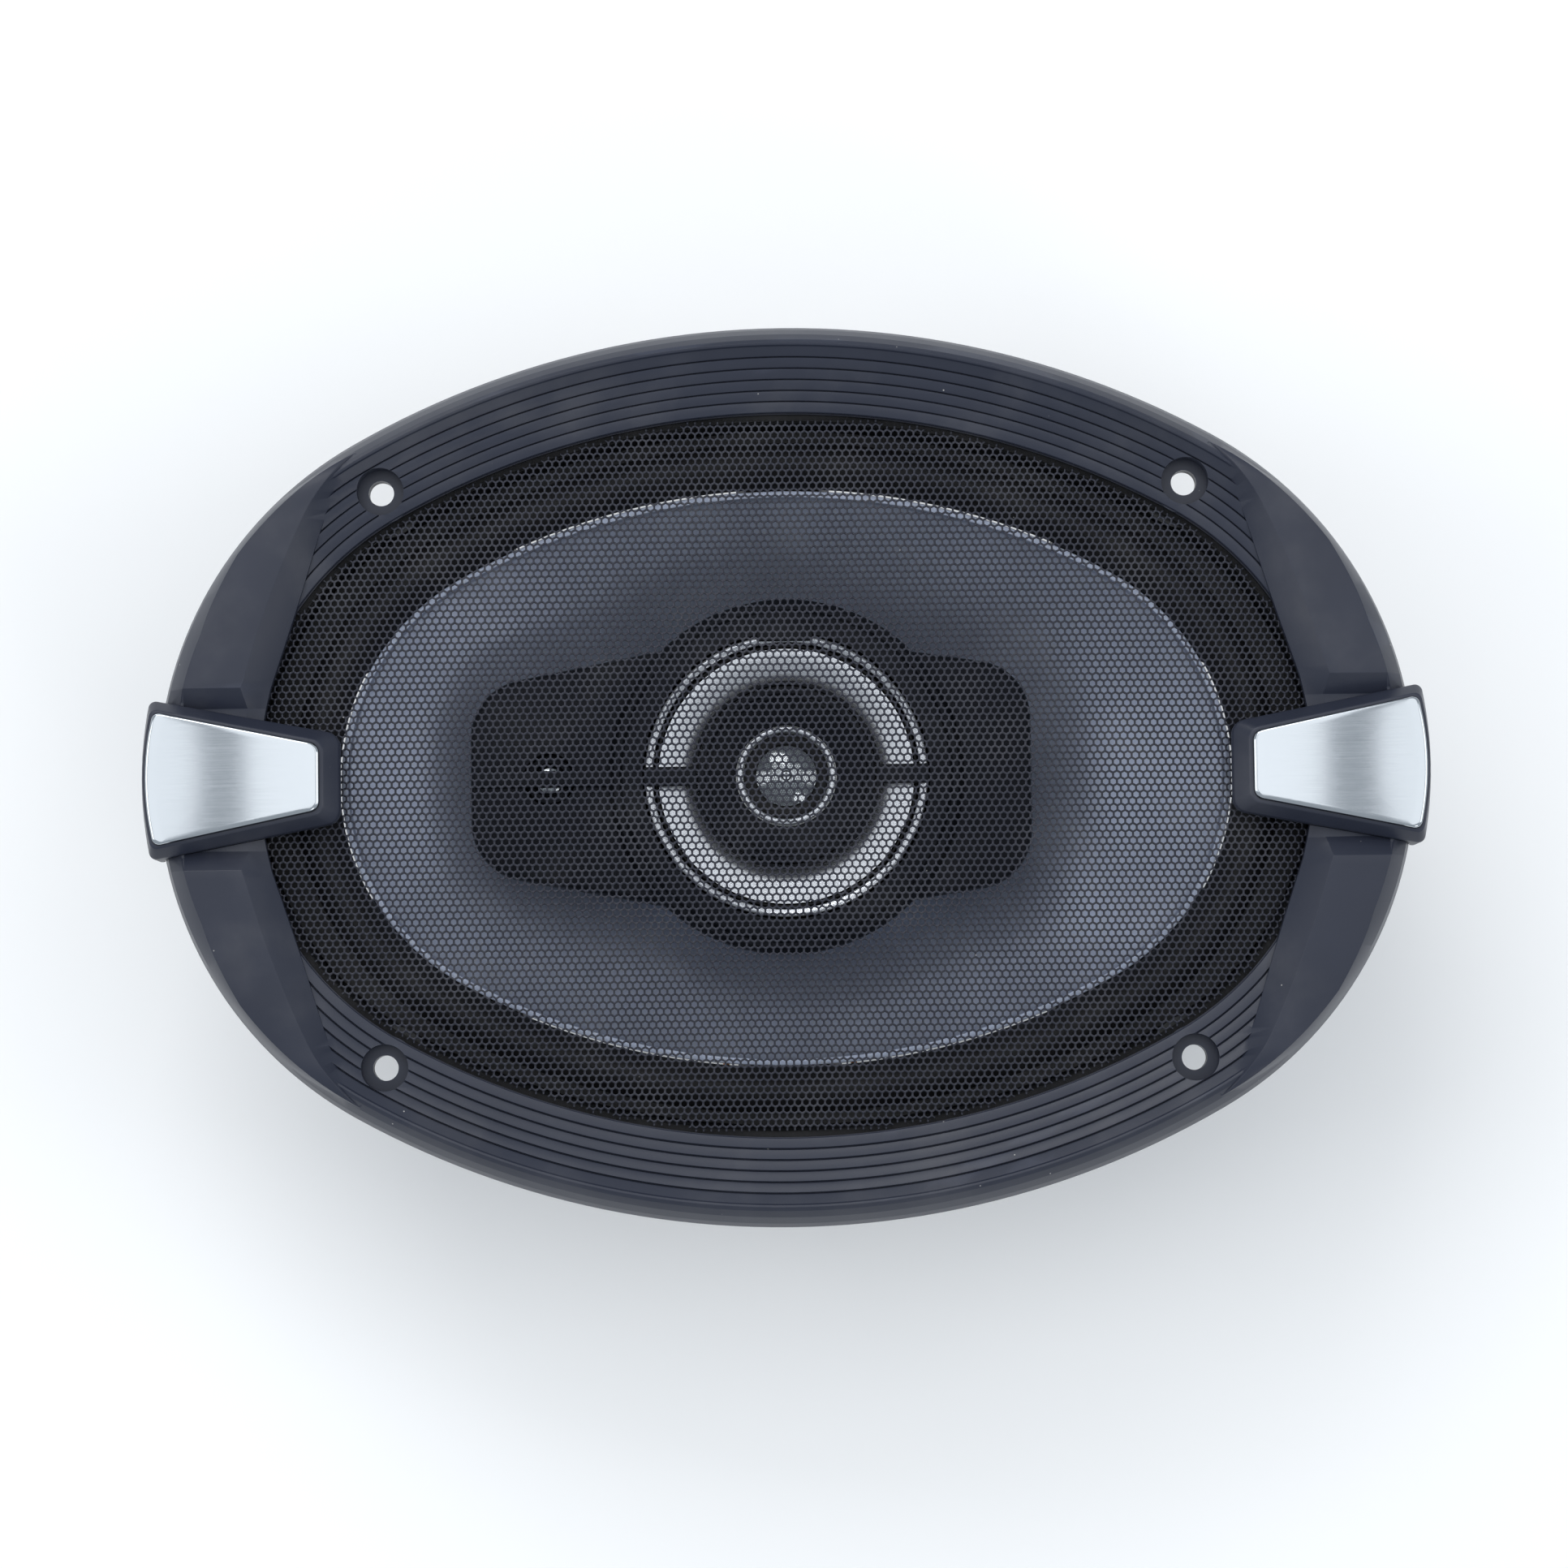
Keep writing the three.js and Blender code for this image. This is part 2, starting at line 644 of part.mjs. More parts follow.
function makePodHousing() {
  const { left, right, bottom, top } = POD_WINGS;
  const outline = [
    [left, -18.8, 8],
    [-25, -26.5],
    [24, -26],
    [right, -22, 8],
    [right, 22, 8],
    [24, 26],
    [-25, 26.5],
    [left, 18.8, 8],
  ];
  const lowered = outline.map(([x, y, r = 0]) => [x * 0.985, y * 0.965, r]);
  const wings = stack(
    [rounded(lowered), bottom],
    [rounded(outline), bottom + 2.5],
    [rounded(outline), top - 1.2],
    [rounded(lowered), top],
  );
  const disc = [
    [0, bottom],
    [POD_DISC - 1, bottom],
    [POD_DISC, bottom + 1],
    [POD_DISC, POD.rim - 2.4],
    [POD_DISC - 2, POD.rim - 0.8],
    [POD.pocket + 1, POD.rim],
    [0, POD.rim],
  ];
  const [barHalf, tabHalf, raised] = [1.7, 5.8, 1.1];
  const bar = box(left + 0.6, -POD.pocket - 2, -barHalf, barHalf, top - 1, top + raised);
  const tab = box(-tabHalf, tabHalf, POD.pocket - 2, POD.pocket + 2, POD.rim - 0.1, POD.rim + raised);
  const well = moved(drum(WELL_RADIUS, bottom + 2, top + 5), SUPER_TWEETER_X, 0);
  const pocket = drum(POD.pocket, bottom - 1, POD.rim + 3, 36);
  const body = cut(join(wings, turned(disc, 36)), pocket, well);
  piece(pod, "pod_housing", join(body, bar, tab), MATTE_PLASTIC);
}

function makeMidrange() {
  const rim = 79.8;
  const frame = [
    [10, 68.5],
    [16, 68.5],
    [29.3, 72.4],
    [29.3, rim],
    [27.4, rim],
    [27.4, 74],
    [15.5, 69.8],
    [10, 69.8],
  ];
  piece(pod, "midrange_frame", turned(frame), MATTE_PLASTIC);
  piece(pod, "midrange_magnet", drum(14, 66.6, 68.2, 24), FERRITE);
  const ring = [
    [27.5, rim + GAP],
    [29.1, rim + GAP],
    [29.1, rim + 0.8],
    [28.6, rim + 1.1],
    [27.5, rim + 0.9],
  ];
  piece(pod, "midrange_trim_ring", turned(ring, 32), BRIGHT_METAL);
  const [edge, neck] = [[26.3, 79], [9.6, 72.4]];
  const cone = [neck, edge, [edge[0], edge[1] - 0.6], [neck[0], neck[1] - 0.6]];
  piece(pod, "midrange_cone", turned(cone, 36), BRIGHT_METAL);
  piece(pod, "midrange_surround", washer(26.6, 27.1, 78.5, 79.1, 36), RUBBER);
  piece(pod, "midrange_voice_coil", washer(8.8, 9.3, 69.1, 73, 24), COPPER);
}

function makeTweeter() {
  const [bridgeBottom, bridgeTop] = [81.3, 82.4];
  const ring = washer(18.5, 19.4, 79.4, bridgeTop);
  const bars = [-1, 1].map((side) => {
    const [near, far] = [side * 19, side * 29.3];
    return box(Math.min(near, far), Math.max(near, far), -2, 2, bridgeBottom, bridgeTop);
  });
  piece(pod, "tweeter_bridge", join(ring, ...bars), MATTE_PLASTIC);
  const face = [
    [10.4, 78.6],
    [18.2, 80.4],
    [18.2, 82],
    [16.4, 82],
    [15.8, 81.5],
    [10.4, 79.6],
  ];
  piece(pod, "tweeter_faceplate", turned(face), MATTE_PLASTIC);
  const cup = [
    [0, 75],
    [11.6, 75],
    [12.4, 75.8],
    [12.4, 78.2],
    [9.6, 78.2],
    [9.6, 76.2],
    [0, 76.2],
  ];
  piece(pod, "tweeter_magnet_cup", turned(cup, 24), PLATED_STEEL);
  piece(pod, "tweeter_magnet", drum(7.5, 76.5, 77.6, 20), FERRITE);
  const trim = [
    [9.1, 78.5],
    [10.1, 78.5],
    [10.1, 80],
    [9.6, 80.4],
    [9.1, 80],
  ];
  piece(pod, "tweeter_trim_ring", turned(trim, 28), BRIGHT_METAL);
  const dome = [
    [0, 80.6],
    [2.4, 80.4],
    [4.5, 79.8],
    [6.2, 78.8],
    [5.6, 78.6],
    [4.2, 79.3],
    [2.2, 79.9],
    [0, 80.1],
  ];
  piece(pod, "tweeter_dome", turned(dome, 24), BRIGHT_METAL);
  piece(pod, "tweeter_surround", washer(6.5, 8.8, 78.5, 78.9, 24), RUBBER);
}

function makeSuperTweeter() {
  const at = (geometry) => moved(geometry, SUPER_TWEETER_X, 0);
  const floor = POD_WINGS.bottom + 2;
  const cup = [
    [0, floor + GAP],
    [5, floor + GAP],
    [5, floor + 2],
    [3.4, floor + 2],
    [3.4, floor + 0.9],
    [0, floor + 0.9],
  ];
  piece(pod, "super_tweeter_body", at(turned(cup, 16)), MATTE_PLASTIC);
  const dome = [
    [0, floor + 1.5],
    [3, floor + 1.5],
    [3, floor + 1.9],
    [1.8, floor + 2.4],
    [0, floor + 2.6],
  ];
  piece(pod, "super_tweeter_dome", at(turned(dome, 16)), BRIGHT_METAL);
}

// ---------------------------------------------------------------- Grille: trim ring, mesh and badges

// Z of the mesh's underside at a share of the way from the middle to its edge.
function meshZ(share) {
  return MESH_EDGE.z + MESH_RISE * (1 - share ** 2.2);
}

function makeMesh() {
  const [a, b] = TRIM_OVAL.map((half) => half - MESH_EDGE.inset);
  const rim = 1.6; // flat edge under the trim ring's lip
  const shares = [0, 0.3, 0.6, 0.85, 1];
  const level = (share, lift) => [(a - rim) * share, (b - rim) * share, meshZ(share) + lift];
  const section = [
    ...shares.map((share) => level(share, 0)),
    [a, b, MESH_EDGE.z],
    [a, b, MESH_EDGE.z + MESH_THICKNESS],
    ...shares.reverse().map((share) => level(share, MESH_THICKNESS)),
  ];
  piece(grille, "grille_mesh", dish(section), MESH_STEEL);
}

// The badge housing's outline, which widens towards the end of the oval. The other end is its mirror image.
function badgeOutline({ outer, inner, halfOuter, halfInner, corner }) {
  const bulge = 1.7; // how far the outer edge stands out in its middle
  const half = halfOuter * 0.5;
  return rounded([
    [inner, -halfInner, corner],
    [outer - bulge, -halfOuter, 1.5],
    [outer - bulge * 0.25, -half],
    [outer, 0],
    [outer - bulge * 0.25, half],
    [outer - bulge, halfOuter, 1.5],
    [inner, halfInner, corner],
  ]);
}

const BADGE_FOOT = { outer: 131.2, inner: 90.9, halfOuter: 16.4, halfInner: 9, corner: 3 };
const BADGE_HEAD = { outer: 130.7, inner: 94.2, halfOuter: 14.3, halfInner: 7.3, corner: 2.4 };
const BADGE_PLATE = { outer: 130.1, inner: 94.9, halfOuter: 13.6, halfInner: 6.65, corner: 2.2 };
const BADGE_Z = { apron: 80.6, seat: 84, overMesh: 87.6, shoulder: 90.8, head: 93.6, plate: 94.9 };

function grown(spec, by) {
  return {
    ...spec,
    outer: spec.outer + by,
    inner: spec.inner - by,
    halfOuter: spec.halfOuter + by,
    halfInner: spec.halfInner + by,
  };
}

function makeBadges() {
  const foot = badgeOutline(BADGE_FOOT);
  const block = stack(
    [foot, BADGE_Z.apron],
    [foot, BADGE_Z.shoulder],
    [badgeOutline(BADGE_HEAD), BADGE_Z.head],
  );
  const ringRoom = prism(ovalOutline(TRIM_OVAL, GAP), BADGE_Z.apron - 1, BADGE_Z.seat);
  const lipX = TRIM_OVAL[0] - MESH_EDGE.inset + 0.6; // the part over the mesh stays above it
  const width = 2 * BADGE_FOOT.halfOuter;
  const meshRoom = box(BADGE_FOOT.inner - 1, lipX, -width, width, BADGE_Z.apron - 1, BADGE_Z.overMesh);
  const housing = cut(block, ringRoom, meshRoom);
  const plate = prism(badgeOutline(BADGE_PLATE), BADGE_Z.head + GAP, BADGE_Z.plate);
  for (const [side, x] of [["right", 1], ["left", -1]]) {
    piece(grille, side + "_badge_housing", mirrored(housing, x, 1), BLACK_PLASTIC);
    piece(grille, side + "_badge_plate", mirrored(plate, x, 1), BRIGHT_METAL);
  }
}

// One raised shoulder beside the right badge, above the X axis. Each station across it gives Y,
// the X of its inner edge, of the two edges of its flat top, and the top's height.
function shoulder() {
  const stations = [
    { y: 14.6, inner: 106.1, flatIn: 109.8, flatOut: 122.4, top: 88.6 },
    { y: 18.6, inner: 105.2, flatIn: 110.9, flatOut: 122.0, top: 91.7 },
    { y: 36, inner: 99.4, flatIn: 105.3, flatOut: 116.6, top: 91.4 },
    { y: 54.3, inner: 93.6, flatIn: 97.7, flatOut: 106.0, top: 90.9 },
    { y: 62, inner: 90.0, flatIn: 92.6, flatOut: 98.4, top: 90.4 },
    { y: 69.6, inner: 84.9, flatIn: 85.5, flatOut: 86.1, top: 88.6 },
  ];
  const rings = stations.map(({ y, inner, flatIn, flatOut, top }) => {
    const outer = trimX(y);
    const section = [
      [outer - 1.8, 82.4],
      [outer, 82.4],
      [Math.max(flatOut, outer - 6), top],
      [Math.min(flatIn, outer - 3), top],
      [inner, Math.min(87.6, top)],
      [inner, 85.2],
    ];
    return section.map(([x, z]) => new THREE.Vector3(x, y, z));
  });
  const positions = rings.flatMap((ring) => ring.flatMap((p) => [p.x, p.y, p.z]));
  const faces = [];
  const n = rings[0].length;
  for (let i = 0; i < rings.length - 1; i++) {
    for (let j = 0; j < n; j++) {
      const [a, b] = [i * n + j, i * n + ((j + 1) % n)];
      faces.push(a, b, b + n, a, b + n, a + n);
    }
  }
  const last = (rings.length - 1) * n;
  for (let j = 1; j < n - 1; j++) faces.push(0, j + 1, j, last, last + j, last + j + 1);
  const made = new THREE.BufferGeometry();
  made.setAttribute("position", new THREE.Float32BufferAttribute(positions, 3));
  made.setIndex(faces);
  return closed(made);
}

function makeTrimRing() {
  const at = (inset, z) => [TRIM_OVAL[0] - inset, TRIM_OVAL[1] - inset, z];
  const [wall, skirt] = [2.4, 2.2]; // thickness of the outer wall, height of its upright foot
  const section = [
    at(0, FLANGE_Z),
    at(0, FLANGE_Z + skirt),
    at(RIDGE.inset - 0.3, RIDGE.z),
    at(RIDGE.inset, RIDGE.z),
  ];
  let [inset, z] = [RIDGE.inset + 0.4, RIDGE.z - 0.6];
  for (const drop of RIB_DROPS) {
    section.push(at(inset, z));
    z -= drop;
    inset += RIB_WIDTH - RIB_GROOVE;
    section.push(at(inset, z));
    z += RIB_STEP_UP;
    inset += RIB_GROOVE;
  }
  const lip = MESH_EDGE.inset + 1.1;
  const meshTop = MESH_EDGE.z + MESH_THICKNESS + GAP;
  section.push(at(lip, z - RIB_STEP_UP - 0.3));
  section.push(at(lip, meshTop));
  section.push(at(MESH_EDGE.inset - 0.5, meshTop));
  section.push(at(MESH_EDGE.inset - 0.5, MESH_EDGE.z));
  section.push(at(MESH_EDGE.inset - 2, MESH_EDGE.z));
  section.push(at(MESH_EDGE.inset - 2.6, meshTop));
  section.push(at(RIDGE.inset + 1.6, RIDGE.z - 3.2));
  section.push(at(wall + 0.2, FLANGE_Z + 3));
  section.push(at(wall, FLANGE_Z));
  const parts = [];
  const holes = [];
  const above = BADGE_Z.plate + 1;
  for (const x of [-1, 1]) {
    for (const y of [-1, 1]) {
      parts.push(mirrored(shoulder(), x, y));
      const place = [x * SCREW_PLACES[0], y * SCREW_PLACES[1]];
      parts.push(moved(drum(BOSS.radius, FLANGE_Z + SHEET + GAP, BOSS.top, 14), ...place));
      holes.push(moved(drum(COUNTERBORE, BOSS.screwSeat, above, 14), ...place));
      holes.push(moved(drum(SCREW_HOLE, FLANGE_Z, above, 12), ...place));
    }
    const notch = prism(badgeOutline(grown(BADGE_FOOT, GAP)), BADGE_Z.seat - GAP, above);
    holes.push(mirrored(notch, x, 1));
  }
  // The bosses stop at the mesh's edge.
  const [a, b] = TRIM_OVAL.map((half) => half - MESH_EDGE.inset + 0.5);
  const meshRoom = stack([ovalOutline([a, b]), FLANGE_Z], [ovalOutline([a, b]), meshTop]);
  holes.push(meshRoom);
  piece(grille, "trim_ring", cut(join(hoop(section), ...parts), ...holes), BLACK_PLASTIC);
}

// ---------------------------------------------------------------- Build

makeBackPlate();
makeMagnet();
makeTopPlate();
makeRivets();
makeBasket();
makeFrontGasket();
makeTerminals();
makeCapacitor();
makeTinselLeads();
makeCone();
makeSurround();
makeSpider();
makeVoiceCoil();
makeStem();
makePodRearCover();
makePodHousing();
makeMidrange();
makeTweeter();
makeSuperTweeter();
makeMesh();
makeBadges();
makeTrimRing();

export default speaker;
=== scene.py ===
"""The looks of a six-by-nine inch coaxial car speaker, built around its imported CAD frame.

X runs along the oval's length, Y across it and Z out of the speaker's face. Sizes are in metres.
"""

import math

import bmesh
import bpy
from bpy.props import FloatProperty, FloatVectorProperty, IntProperty, PointerProperty
from bpy.types import Operator, Panel, PropertyGroup
from mathutils import Matrix, Quaternion, Vector


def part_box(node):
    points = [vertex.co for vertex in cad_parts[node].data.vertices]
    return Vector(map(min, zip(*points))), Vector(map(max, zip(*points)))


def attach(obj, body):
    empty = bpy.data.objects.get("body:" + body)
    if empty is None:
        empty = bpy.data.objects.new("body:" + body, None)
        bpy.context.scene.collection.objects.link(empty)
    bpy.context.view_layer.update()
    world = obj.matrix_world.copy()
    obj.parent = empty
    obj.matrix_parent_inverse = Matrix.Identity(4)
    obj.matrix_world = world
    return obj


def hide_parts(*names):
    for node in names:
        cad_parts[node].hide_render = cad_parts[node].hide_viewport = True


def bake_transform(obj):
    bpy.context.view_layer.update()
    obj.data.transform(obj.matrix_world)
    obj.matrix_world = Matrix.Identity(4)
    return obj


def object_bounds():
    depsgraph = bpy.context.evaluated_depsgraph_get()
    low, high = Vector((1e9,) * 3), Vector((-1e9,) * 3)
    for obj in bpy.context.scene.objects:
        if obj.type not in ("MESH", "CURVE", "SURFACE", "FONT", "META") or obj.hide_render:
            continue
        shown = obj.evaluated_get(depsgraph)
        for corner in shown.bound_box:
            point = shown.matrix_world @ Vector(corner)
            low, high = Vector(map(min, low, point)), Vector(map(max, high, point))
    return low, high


bl_info = {
    "name": "Coaxial Car Speaker",
    "version": (1, 0, 0),
    "blender": (4, 5, 0),
    "location": "3D View > Sidebar > Speaker",
    "description": "Builds the finished pieces of an oval coaxial car speaker around its frame",
    "category": "Object",
}

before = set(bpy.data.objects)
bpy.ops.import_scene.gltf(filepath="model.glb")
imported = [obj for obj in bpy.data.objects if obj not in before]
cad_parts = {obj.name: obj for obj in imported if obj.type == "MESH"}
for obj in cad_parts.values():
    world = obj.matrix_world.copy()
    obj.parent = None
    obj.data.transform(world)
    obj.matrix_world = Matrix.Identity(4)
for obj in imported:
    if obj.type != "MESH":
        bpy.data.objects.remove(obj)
CAD_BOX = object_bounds()

# ---------------------------------------------------------------- Sizes shared by several pieces

MM = 0.001
GAP = 0.3 * MM  # between two pieces that touch
ARC_TURN = math.radians(60.6)  # every oval's end arc turns this far each way
END_STEPS = 30  # steps in half an end arc
SIDE_STEPS = 24  # steps in half a side arc
ROUND_STEPS = 96  # steps round a turned piece
FINE_STEPS = 144  # steps round a large one
FILLET_STEPS = 3  # steps round a small fillet
SHARP = math.radians(38)  # a steeper corner than this is drawn as an edge

FIXED = "frame"
CONE_BODY = "woofer_moving_parts"
GRILLE_BODY = "grille"


def low(node):
    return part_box(node)[0]


def high(node):
    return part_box(node)[1]


def halves(node):
    """Half length and half width of a node that is centred on the axis."""
    corner = high(node)
    return corner.x, corner.y


def grown(sizes, growth):
    """Half sizes of the oval that lies this far outside another."""
    return sizes[0] + growth, sizes[1] + growth


TRIM = halves("trim_ring")
FLANGE_Z = low("trim_ring").z
MESH = halves("grille_mesh")
MESH_Z = low("grille_mesh").z
MESH_EDGE = 0.8 * MM  # thickness of the mesh's rim
MESH_RISE = high("grille_mesh").z - MESH_Z - MESH_EDGE
CONE = halves("woofer_cone")
POD_RIM_Z = high("pod_housing").z - 1.1 * MM
SUPER_TWEETER_X = (low("super_tweeter_dome").x + high("super_tweeter_dome").x) / 2


def mm(*rows):
    """Rows of millimetres as rows of metres."""
    return [tuple(value * MM for value in row) for row in rows]


# ---------------------------------------------------------------- Settings in the sidebar


def length(name, description, default):
    return FloatProperty(name=name, description=description, default=default, min=0.0, unit="LENGTH")


def colour(name, description, default):
    return FloatVectorProperty(
        name=name, description=description, default=default, subtype="COLOR", min=0.0, max=1.0
    )


class GrilleSizes(PropertyGroup):
    """Sizes of the clip-on grille"""

    hole_pitch: length("Hole pitch", "Distance between the mesh's holes", 1.55 * MM)
    hole_size: length("Hole size", "Distance across a hole of the mesh", 1.14 * MM)
    sheet: length("Sheet thickness", "Thickness of the perforated sheet", 0.4 * MM)
    rib_width: length("Rib width", "Width of each rib of the trim ring", 2.25 * MM)
    groove_depth: length("Groove depth", "Depth of the groove between two ribs", 0.55 * MM)
    badge_crown: length("Badge crown", "How far a badge plate's middle stands proud", 0.3 * MM)


class DriverSizes(PropertyGroup):
    """Sizes of the woofer's soft parts"""

    roll_height: length("Roll height", "Height of the surround's half roll", 4.6 * MM)
    spider_fold: length("Spider fold", "Height of each fold of the spider", 1.1 * MM)
    spider_folds: IntProperty(name="Spider folds", description="Folds across the spider", default=7, min=2)
    coil_wire: length("Coil wire", "Diameter of the voice coil's wire", 0.4 * MM)


class FinishColours(PropertyGroup):
    """Base colours of the finishes"""

    black_plastic: colour("Black plastic", "Trim ring and badge blocks", (0.024, 0.028, 0.044))
    matte_plastic: colour("Matt plastic", "Pod and its drivers", (0.005, 0.006, 0.008))
    grille_steel: colour("Grille steel", "Powder coat of the mesh", (0.007, 0.008, 0.012))
    basket_steel: colour("Basket steel", "Coat of the basket", (0.014, 0.015, 0.018))
    plate_steel: colour("Plate steel", "Coat of the magnet's plates", (0.035, 0.036, 0.040))
    bright_metal: colour("Bright metal", "Badge plates and domes", (0.47, 0.50, 0.53))
    satin_metal: colour("Satin metal", "Midrange cone and trim rings", (0.87, 0.90, 0.96))
    plated_steel: colour("Plated steel", "Rivets and screws", (0.60, 0.61, 0.62))
    ferrite: colour("Ferrite", "Magnets", (0.035, 0.035, 0.038))
    mica_cone: colour("Cone", "Woofer cone", (0.54, 0.60, 0.76))
    rubber: colour("Rubber", "Surrounds", (0.006, 0.006, 0.008))
    cloth: colour("Spider cloth", "Dipped cloth of the spider", (0.42, 0.25, 0.06))
    kapton: colour("Amber film", "Voice coil former", (0.30, 0.12, 0.02))
    copper: colour("Copper", "Coils and tinsel leads", (0.70, 0.32, 0.14))
    brass: colour("Brass", "Terminal blades", (0.72, 0.58, 0.28))
    fibreboard: colour("Fibreboard", "Terminal board", (0.13, 0.075, 0.04))
    foam: colour("Foam", "Gasket and felt ring", (0.020, 0.020, 0.022))
    dust: colour("Dust", "Specks on the upward faces", (0.42, 0.41, 0.40))


class StudioSettings(PropertyGroup):
    """Camera, lights and floor"""

    elevation: FloatProperty(
        name="Elevation",
        description="Camera's angle above the horizon",
        default=math.radians(86),
        subtype="ANGLE",
    )
    roll: FloatProperty(
        name="Roll", description="Camera's turn about its view", default=math.radians(-0.78), subtype="ANGLE"
    )
    distance: length("Distance", "From the camera to the trim ring", 1.0)
    view_width: length("View width", "Width of the view at the trim ring", 0.3212)
    key_power: FloatProperty(
        name="Light power", description="Power that each light has a share of", default=8.0, unit="POWER"
    )
    sky: FloatProperty(name="Sky", description="Strength of the light all round", default=0.6)
    floor: colour("Floor", "Pale floor", (0.96, 0.96, 0.96))


# ---------------------------------------------------------------- Outlines


def oval(half_length, half_width):
    """Four-arc oval: the end arcs' centre and radius, then the side arcs'."""
    spread = 1 + math.tan(ARC_TURN) - 1 / math.cos(ARC_TURN)
    end_x = (half_length - half_width) / spread
    side_y = end_x * math.tan(ARC_TURN)
    return end_x, half_length - end_x, side_y, half_width + side_y


def oval_point(arcs, turn):
    """The oval's point where its outward normal has turned this far from +X."""
    end_x, end_radius, side_y, side_radius = arcs
    x, y = math.cos(turn), math.sin(turn)
    if abs(y) <= math.sin(ARC_TURN) + 1e-9:
        return math.copysign(end_x, x) + end_radius * x, end_radius * y
    return side_radius * x, side_radius * y - math.copysign(side_y, y)


def once_round():
    """Turns of the normal at which every oval is sampled."""
    quarter = [ARC_TURN * i / END_STEPS for i in range(END_STEPS)]
    rest = math.pi / 2 - ARC_TURN
    quarter += [ARC_TURN + rest * i / SIDE_STEPS for i in range(SIDE_STEPS)]
    turns = []
    for i in range(4):
        if i % 2:
            turns += [(i + 1) * math.pi / 2 - turn for turn in [math.pi / 2, *quarter[:0:-1]]]
        else:
            turns += [i * math.pi / 2 + turn for turn in quarter]
    return turns


TURNS = once_round()


def oval_ring(half_length, half_width, z):
    arcs = oval(half_length, half_width)
    return [(*oval_point(arcs, turn), z) for turn in TURNS]


def oval_outline(sizes, growth=0.0):
    return [point[:2] for point in oval_ring(*grown(sizes, growth), 0)]


def share_across(x, y, arcs):
    """Size of the similar oval through this point, as a share of the oval with these arcs."""
    end_x, end_radius, side_y, side_radius = arcs
    x, y = abs(x), abs(y)
    if y * (end_x + end_radius * math.cos(ARC_TURN)) <= x * end_radius * math.sin(ARC_TURN):
        square, linear = end_x**2 - end_radius**2, -2 * x * end_x
    else:
        square, linear = side_y**2 - side_radius**2, 2 * y * side_y
    return (-linear - math.sqrt(linear**2 - 4 * square * (x * x + y * y))) / (2 * square)


def trim_x(y, inset=0.0):
    """X at this Y of an oval that lies this far inside the trim ring's outline."""
    end_x, end_radius, side_y, side_radius = oval(*grown(TRIM, -inset))
    if y < end_radius * math.sin(ARC_TURN):
        return end_x + math.sqrt(end_radius**2 - y**2)
    return math.sqrt(side_radius**2 - (y + side_y) ** 2)


def circle(radius, centre=(0, 0), count=ROUND_STEPS):
    turns = [2 * math.pi * i / count for i in range(count)]
    return [(centre[0] + radius * math.cos(t), centre[1] + radius * math.sin(t)) for t in turns]


def rounded(corners, steps=6):
    """Outline through [x, y, radius] corners, each rounded by an arc."""
    made = []
    for i, (x, y, radius) in enumerate(corners):
        corner = Vector((x, y))
        if not radius:
            made.append((x, y))
            continue
        back = (Vector(corners[i - 1][:2]) - corner).normalized()
        ahead = (Vector(corners[(i + 1) % len(corners)][:2]) - corner).normalized()
        half = back.angle(ahead) / 2
        centre = corner + (back + ahead).normalized() * radius / math.sin(half)
        start = corner + back * radius / math.tan(half) - centre
        way = math.copysign(math.pi - 2 * half, ahead.cross(back))
        for k in range(steps + 1):
            turn = way * k / steps
            c, s = math.cos(turn), math.sin(turn)
            made.append((centre.x + start.x * c - start.y * s, centre.y + start.x * s + start.y * c))
    return made


def mixed(first, second, share):
    """Outline part of the way from one outline to another of as many points."""
    return [
        (ax + (bx - ax) * share, ay + (by - ay) * share) for (ax, ay), (bx, by) in zip(first, second)
    ]


def filleted(section, radius, closed=True):
    """Section with its corners rounded, in as many dimensions as its points have."""
    corners = [Vector(point) for point in section]
    made = []
    for i, corner in enumerate(corners):
        if not closed and i in (0, len(corners) - 1):
            made.append(tuple(corner))
            continue
        back, ahead = corners[i - 1] - corner, corners[(i + 1) % len(corners)] - corner
        turn = math.pi - back.angle(ahead)
        if turn < math.radians(7):
            made.append(tuple(corner))
            continue
        reach = min(radius * math.tan(min(turn, 2.4) / 2), 0.45 * back.length, 0.45 * ahead.length)
        start, end = corner + back.normalized() * reach, corner + ahead.normalized() * reach
        for k in range(FILLET_STEPS + 1):
            t = k / FILLET_STEPS
            made.append(tuple(start * (1 - t) ** 2 + corner * (2 * t * (1 - t)) + end * t**2))
    return made


# ---------------------------------------------------------------- Meshes


def mesh_piece(name, points, faces):
    mesh = bpy.data.meshes.new(name)
    mesh.from_pydata(points, [], faces)
    shape = bmesh.new()
    shape.from_mesh(mesh)
    bmesh.ops.recalc_face_normals(shape, faces=shape.faces)
    shape.to_mesh(mesh)
    shape.free()
    piece = bpy.data.objects.new(name, mesh)
    bpy.context.scene.collection.objects.link(piece)
    return piece


def skinned(name, rings, closed):
    """Skin through rings of equal count or single points, closed on itself or capped at both ends."""
    starts, points = [], []
    for ring in rings:
        starts.append(len(points))
        points.extend(ring)
    count = max(len(ring) for ring in rings)

    def at(i, j):
        return starts[i] + (j % count if len(rings[i]) > 1 else 0)

    faces = []
    for i in range(len(rings) if closed else len(rings) - 1):
        k = (i + 1) % len(rings)
        for j in range(count):
            corners = list(dict.fromkeys((at(i, j), at(i, j + 1), at(k, j + 1), at(k, j))))
            if len(corners) > 2:
                faces.append(corners)
    if not closed:
        for i in (0, len(rings) - 1):
            if len(rings[i]) > 1:
                faces.append([at(i, j) for j in range(count)])
    return mesh_piece(name, points, faces)


